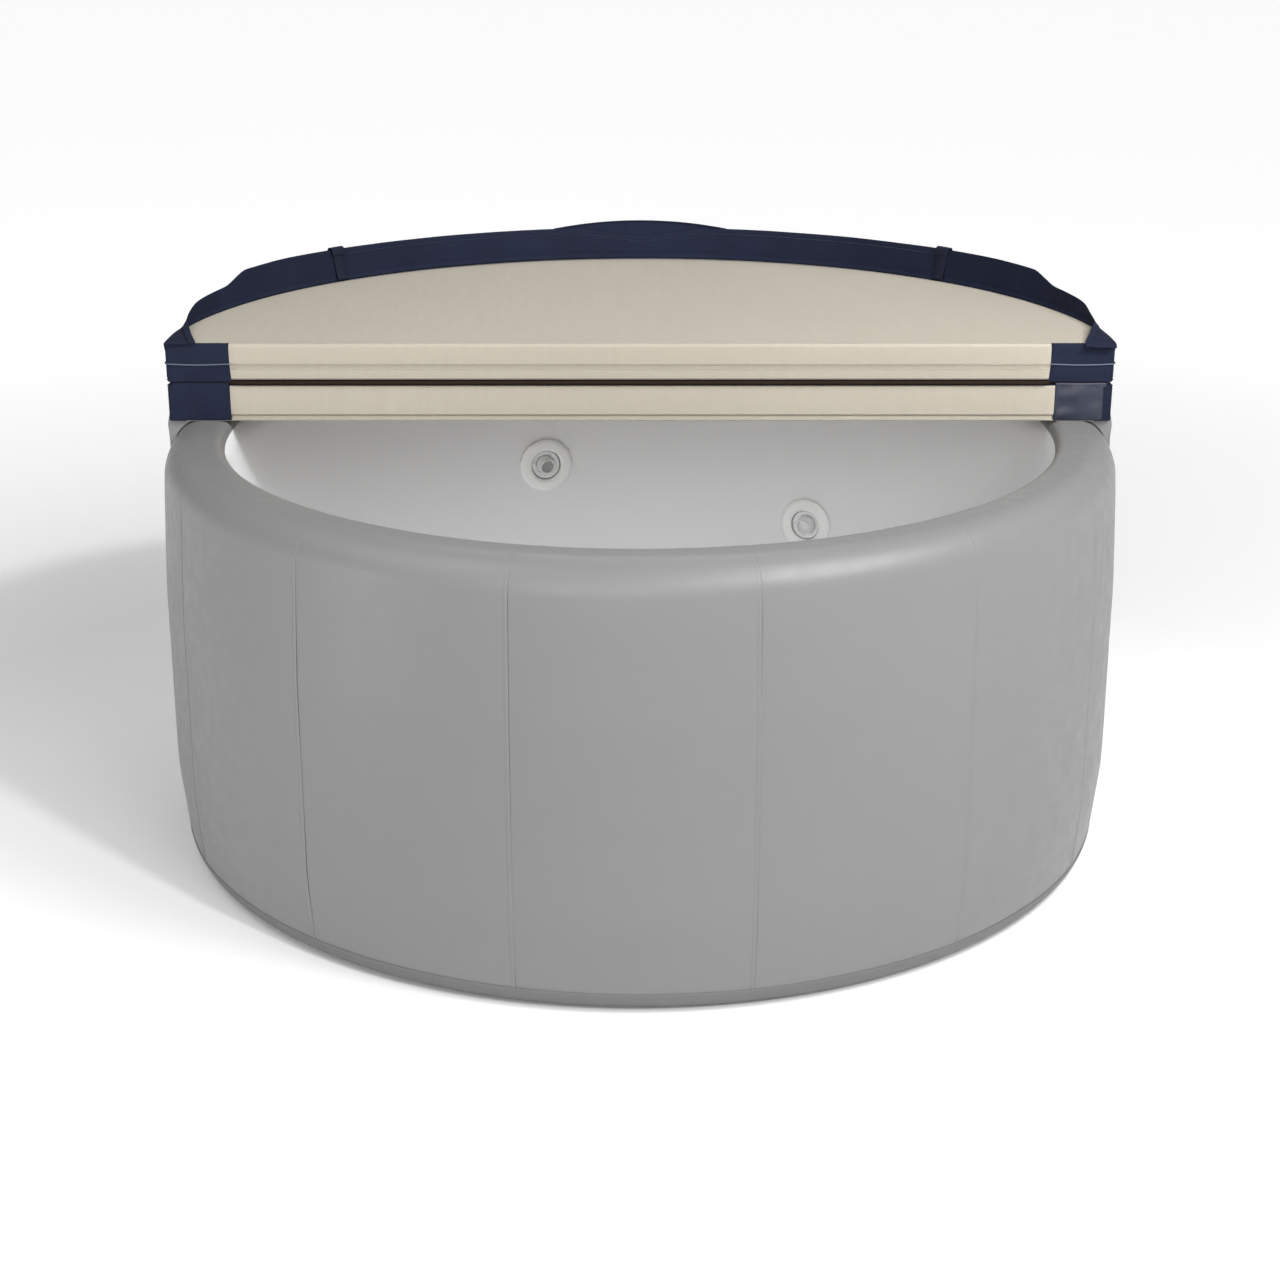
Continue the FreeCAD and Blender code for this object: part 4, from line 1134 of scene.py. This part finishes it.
def skirt_return(side):
    """The skirt's end turned in to close the gap over the tub's shoulder."""

    def place(share, z):
        inner = shoulder_radius(z - 0.0012) + 0.0012
        outer = max(inner, softened(REAR_SKIRT_LINE, z, 0.004) - 0.0006)
        radius = inner + (outer - inner) * share
        y = FOLD_Y + 0.009 + 0.0010 * ripple(radius, z, 5.0 + side, 40.0)
        return Vector((side * sqrt(radius**2 - y * y), y, z))

    shares = spread(0, 1, 12) if side > 0 else spread(1, 0, 12)
    return grid_piece("return", shares, spread(0.600, 0.6508, 24), place, GREY_SKIRT, 0.0010)


def rear_skirt():
    """The rear half's skirt hangs round the tub's shoulder, with ragged, rolled ends."""
    levels = spread(REAR_SKIRT_LINE[0][0], REAR_SKIRT_LINE[-1][0], 26)

    def place(deg, z):
        near = from_end(deg)
        loose = ease(0.66, 0.60, z)
        billow = ripple(radians(deg) * 1.4, z * 2, 6.0, 8.0)
        radius = softened(REAR_SKIRT_LINE, z, 0.004) + 0.0016 * loose * billow
        shift = 0.25 * ripple(z, 0.0, 2.0, 60.0) * (1 - ease(0.0, 4.0, near))
        sign = 1 if deg < 90 else -1
        return round_tub(radians(deg + sign * (0.5 + shift)), radius, z)

    piece = grid_piece("rear_skirt_cloth", spread(0.6, 179.4, 420), levels, place, GREY_SKIRT, 0.0014)
    piece = joined([piece, skirt_return(1), skirt_return(-1)], "rear_skirt_cloth")
    own(piece, "cover_rear", "grey_skirt", "rear_skirt")


# ---- build ----

for number in range(PANELS):
    jacket_panel(number)
base()
liner()
liner_floor()
for number, (deg, level, lean) in enumerate(JETS, start=1):
    jet_flange(number, deg, level)
    jet_dial(number, deg, level)
    jet_ball(number, deg, level, lean)
cover_vinyl()
foam_core("rear_foam_core", "cover_rear", "rear_core")
foam_core("front_foam_core", "cover_front", "front_core")
cover_linings()
corner_patches()
seam_tape()
hinge_cloth()
front_skirt()
skirt_foot()
stitches()
grab_flap()
lifting_loop("left", 180 - LOOP_DEG)
lifting_loop("right", LOOP_DEG)
rear_skirt()


# ---- studio ----


SUNS = [
    # name, direction towards it, strength, width in degrees
    ("key", (0.551, -0.571, 0.609), 0.98, 4.0),
    ("front_fill", (-0.20, -0.94, 0.27), 1.3, 35.0),
]
SOFTBOXES = [
    # name, place, target, diameter, watts, beam in degrees
    ("top_right", (1.5, -1.3, 2.4), (-0.3, -0.1, 0.4), 1.4, 56.0, 180.0),
    ("top_front", (0.8, -2.4, 2.0), (-0.2, 0.1, 0.5), 1.2, 18.0, 180.0),
    ("top_left", (-1.3, -1.0, 2.2), (-0.3, -0.1, 0.6), 1.4, 12.0, 180.0),
    ("top_back", (0.0, 1.4, 2.6), (0.0, 0.2, 0.6), 1.6, 11.0, 180.0),
    ("left_box", (-1.75, -1.25, 0.45), (-0.5, -0.3, 0.4), 0.8, 5.0, 180.0),
    ("cover_right", (1.5, -1.2, 2.0), (0.62, 0.1, 0.80), 0.5, 0.7, 50.0),
]
AMBIENT = 0.26
FLOOR_HALF_WIDTH = 60.0
FLOOR_DROP = 0.0005
GLOW_START, GLOW_FULL, GLOW = 1.4, 4.0, 0.45
CAMERA_PLACE = (0.0, -3.5606, 1.5667)
CAMERA_TILT_DEG = 70.17
CAMERA_LENS_MM = 64.96
WHITE = (1, 1, 1, 1)


def lamp(name, kind, place, target, energy):
    """A light at a place, aimed at a target."""
    light = bpy.data.lights.new(name, kind)
    light.energy = energy
    holder = bpy.data.objects.new(name, light)
    bpy.context.scene.collection.objects.link(holder)
    holder.location = place
    holder.rotation_euler = (Vector(place) - Vector(target)).to_track_quat("Z", "Y").to_euler()
    return light


def lights():
    for name, direction, strength, width_deg in SUNS:
        light = lamp(name, "SUN", direction, (0, 0, 0), strength)
        light.angle = radians(width_deg)
    for name, place, target, diameter, watts, beam_deg in SOFTBOXES:
        light = lamp(name, "AREA", place, target, watts)
        light.shape = "DISK"
        light.size = diameter
        light.spread = radians(beam_deg)


def backdrop():
    """Soft ambient light, with plain white where the camera looks past the floor."""
    world = bpy.data.worlds.new("studio")
    world.use_nodes = True
    tree = world.node_tree
    ambient = tree.nodes["Background"]
    plain = tree.nodes.new("ShaderNodeBackground")
    ambient.inputs["Color"].default_value = WHITE
    ambient.inputs["Strength"].default_value = AMBIENT
    plain.inputs["Color"].default_value = WHITE
    seen = tree.nodes.new("ShaderNodeLightPath")
    either = tree.nodes.new("ShaderNodeMixShader")
    tree.links.new(seen.outputs["Is Camera Ray"], either.inputs[0])
    tree.links.new(ambient.outputs[0], either.inputs[1])
    tree.links.new(plain.outputs[0], either.inputs[2])
    tree.links.new(either.outputs[0], tree.nodes["World Output"].inputs["Surface"])
    bpy.context.scene.world = world


def plain_floor():
    """A plain pale floor, with a faint glow far from the tub so that it stays pale up to the horizon."""
    n = Nodes("floor_paint")
    reach = n.add("ShaderNodeVectorMath", {"operation": "LENGTH"})
    n.put(reach.inputs[0], n.place)
    n.look(
        Base_Color=n.blend(n.varied(3.0), (0.925, 0.925, 0.925, 1), (0.93, 0.93, 0.93, 1)),
        Roughness=0.9,
        Specular_IOR_Level=0.1,
        Emission_Color=WHITE,
        Emission_Strength=n.ranged(reach.outputs["Value"], GLOW_START, GLOW_FULL, 0.0, GLOW),
    )
    size = FLOOR_HALF_WIDTH
    corners = [(x, y, -FLOOR_DROP) for x, y in ((-size, -size), (size, -size), (size, size), (-size, size))]
    floor = mesh_piece("floor", corners, [(0, 1, 2, 3)], n.material)


def viewpoint():
    """The photograph's viewing angle."""
    camera = bpy.data.cameras.new("camera")
    camera.sensor_width = 36.0
    camera.lens = CAMERA_LENS_MM
    viewer = bpy.data.objects.new("camera", camera)
    viewer.location = CAMERA_PLACE
    viewer.rotation_euler = (radians(CAMERA_TILT_DEG), 0.0, 0.0)
    bpy.context.scene.collection.objects.link(viewer)
    bpy.context.scene.camera = viewer
    bpy.context.scene.view_settings.view_transform = "Standard"


backdrop()
lights()
plain_floor()
viewpoint()
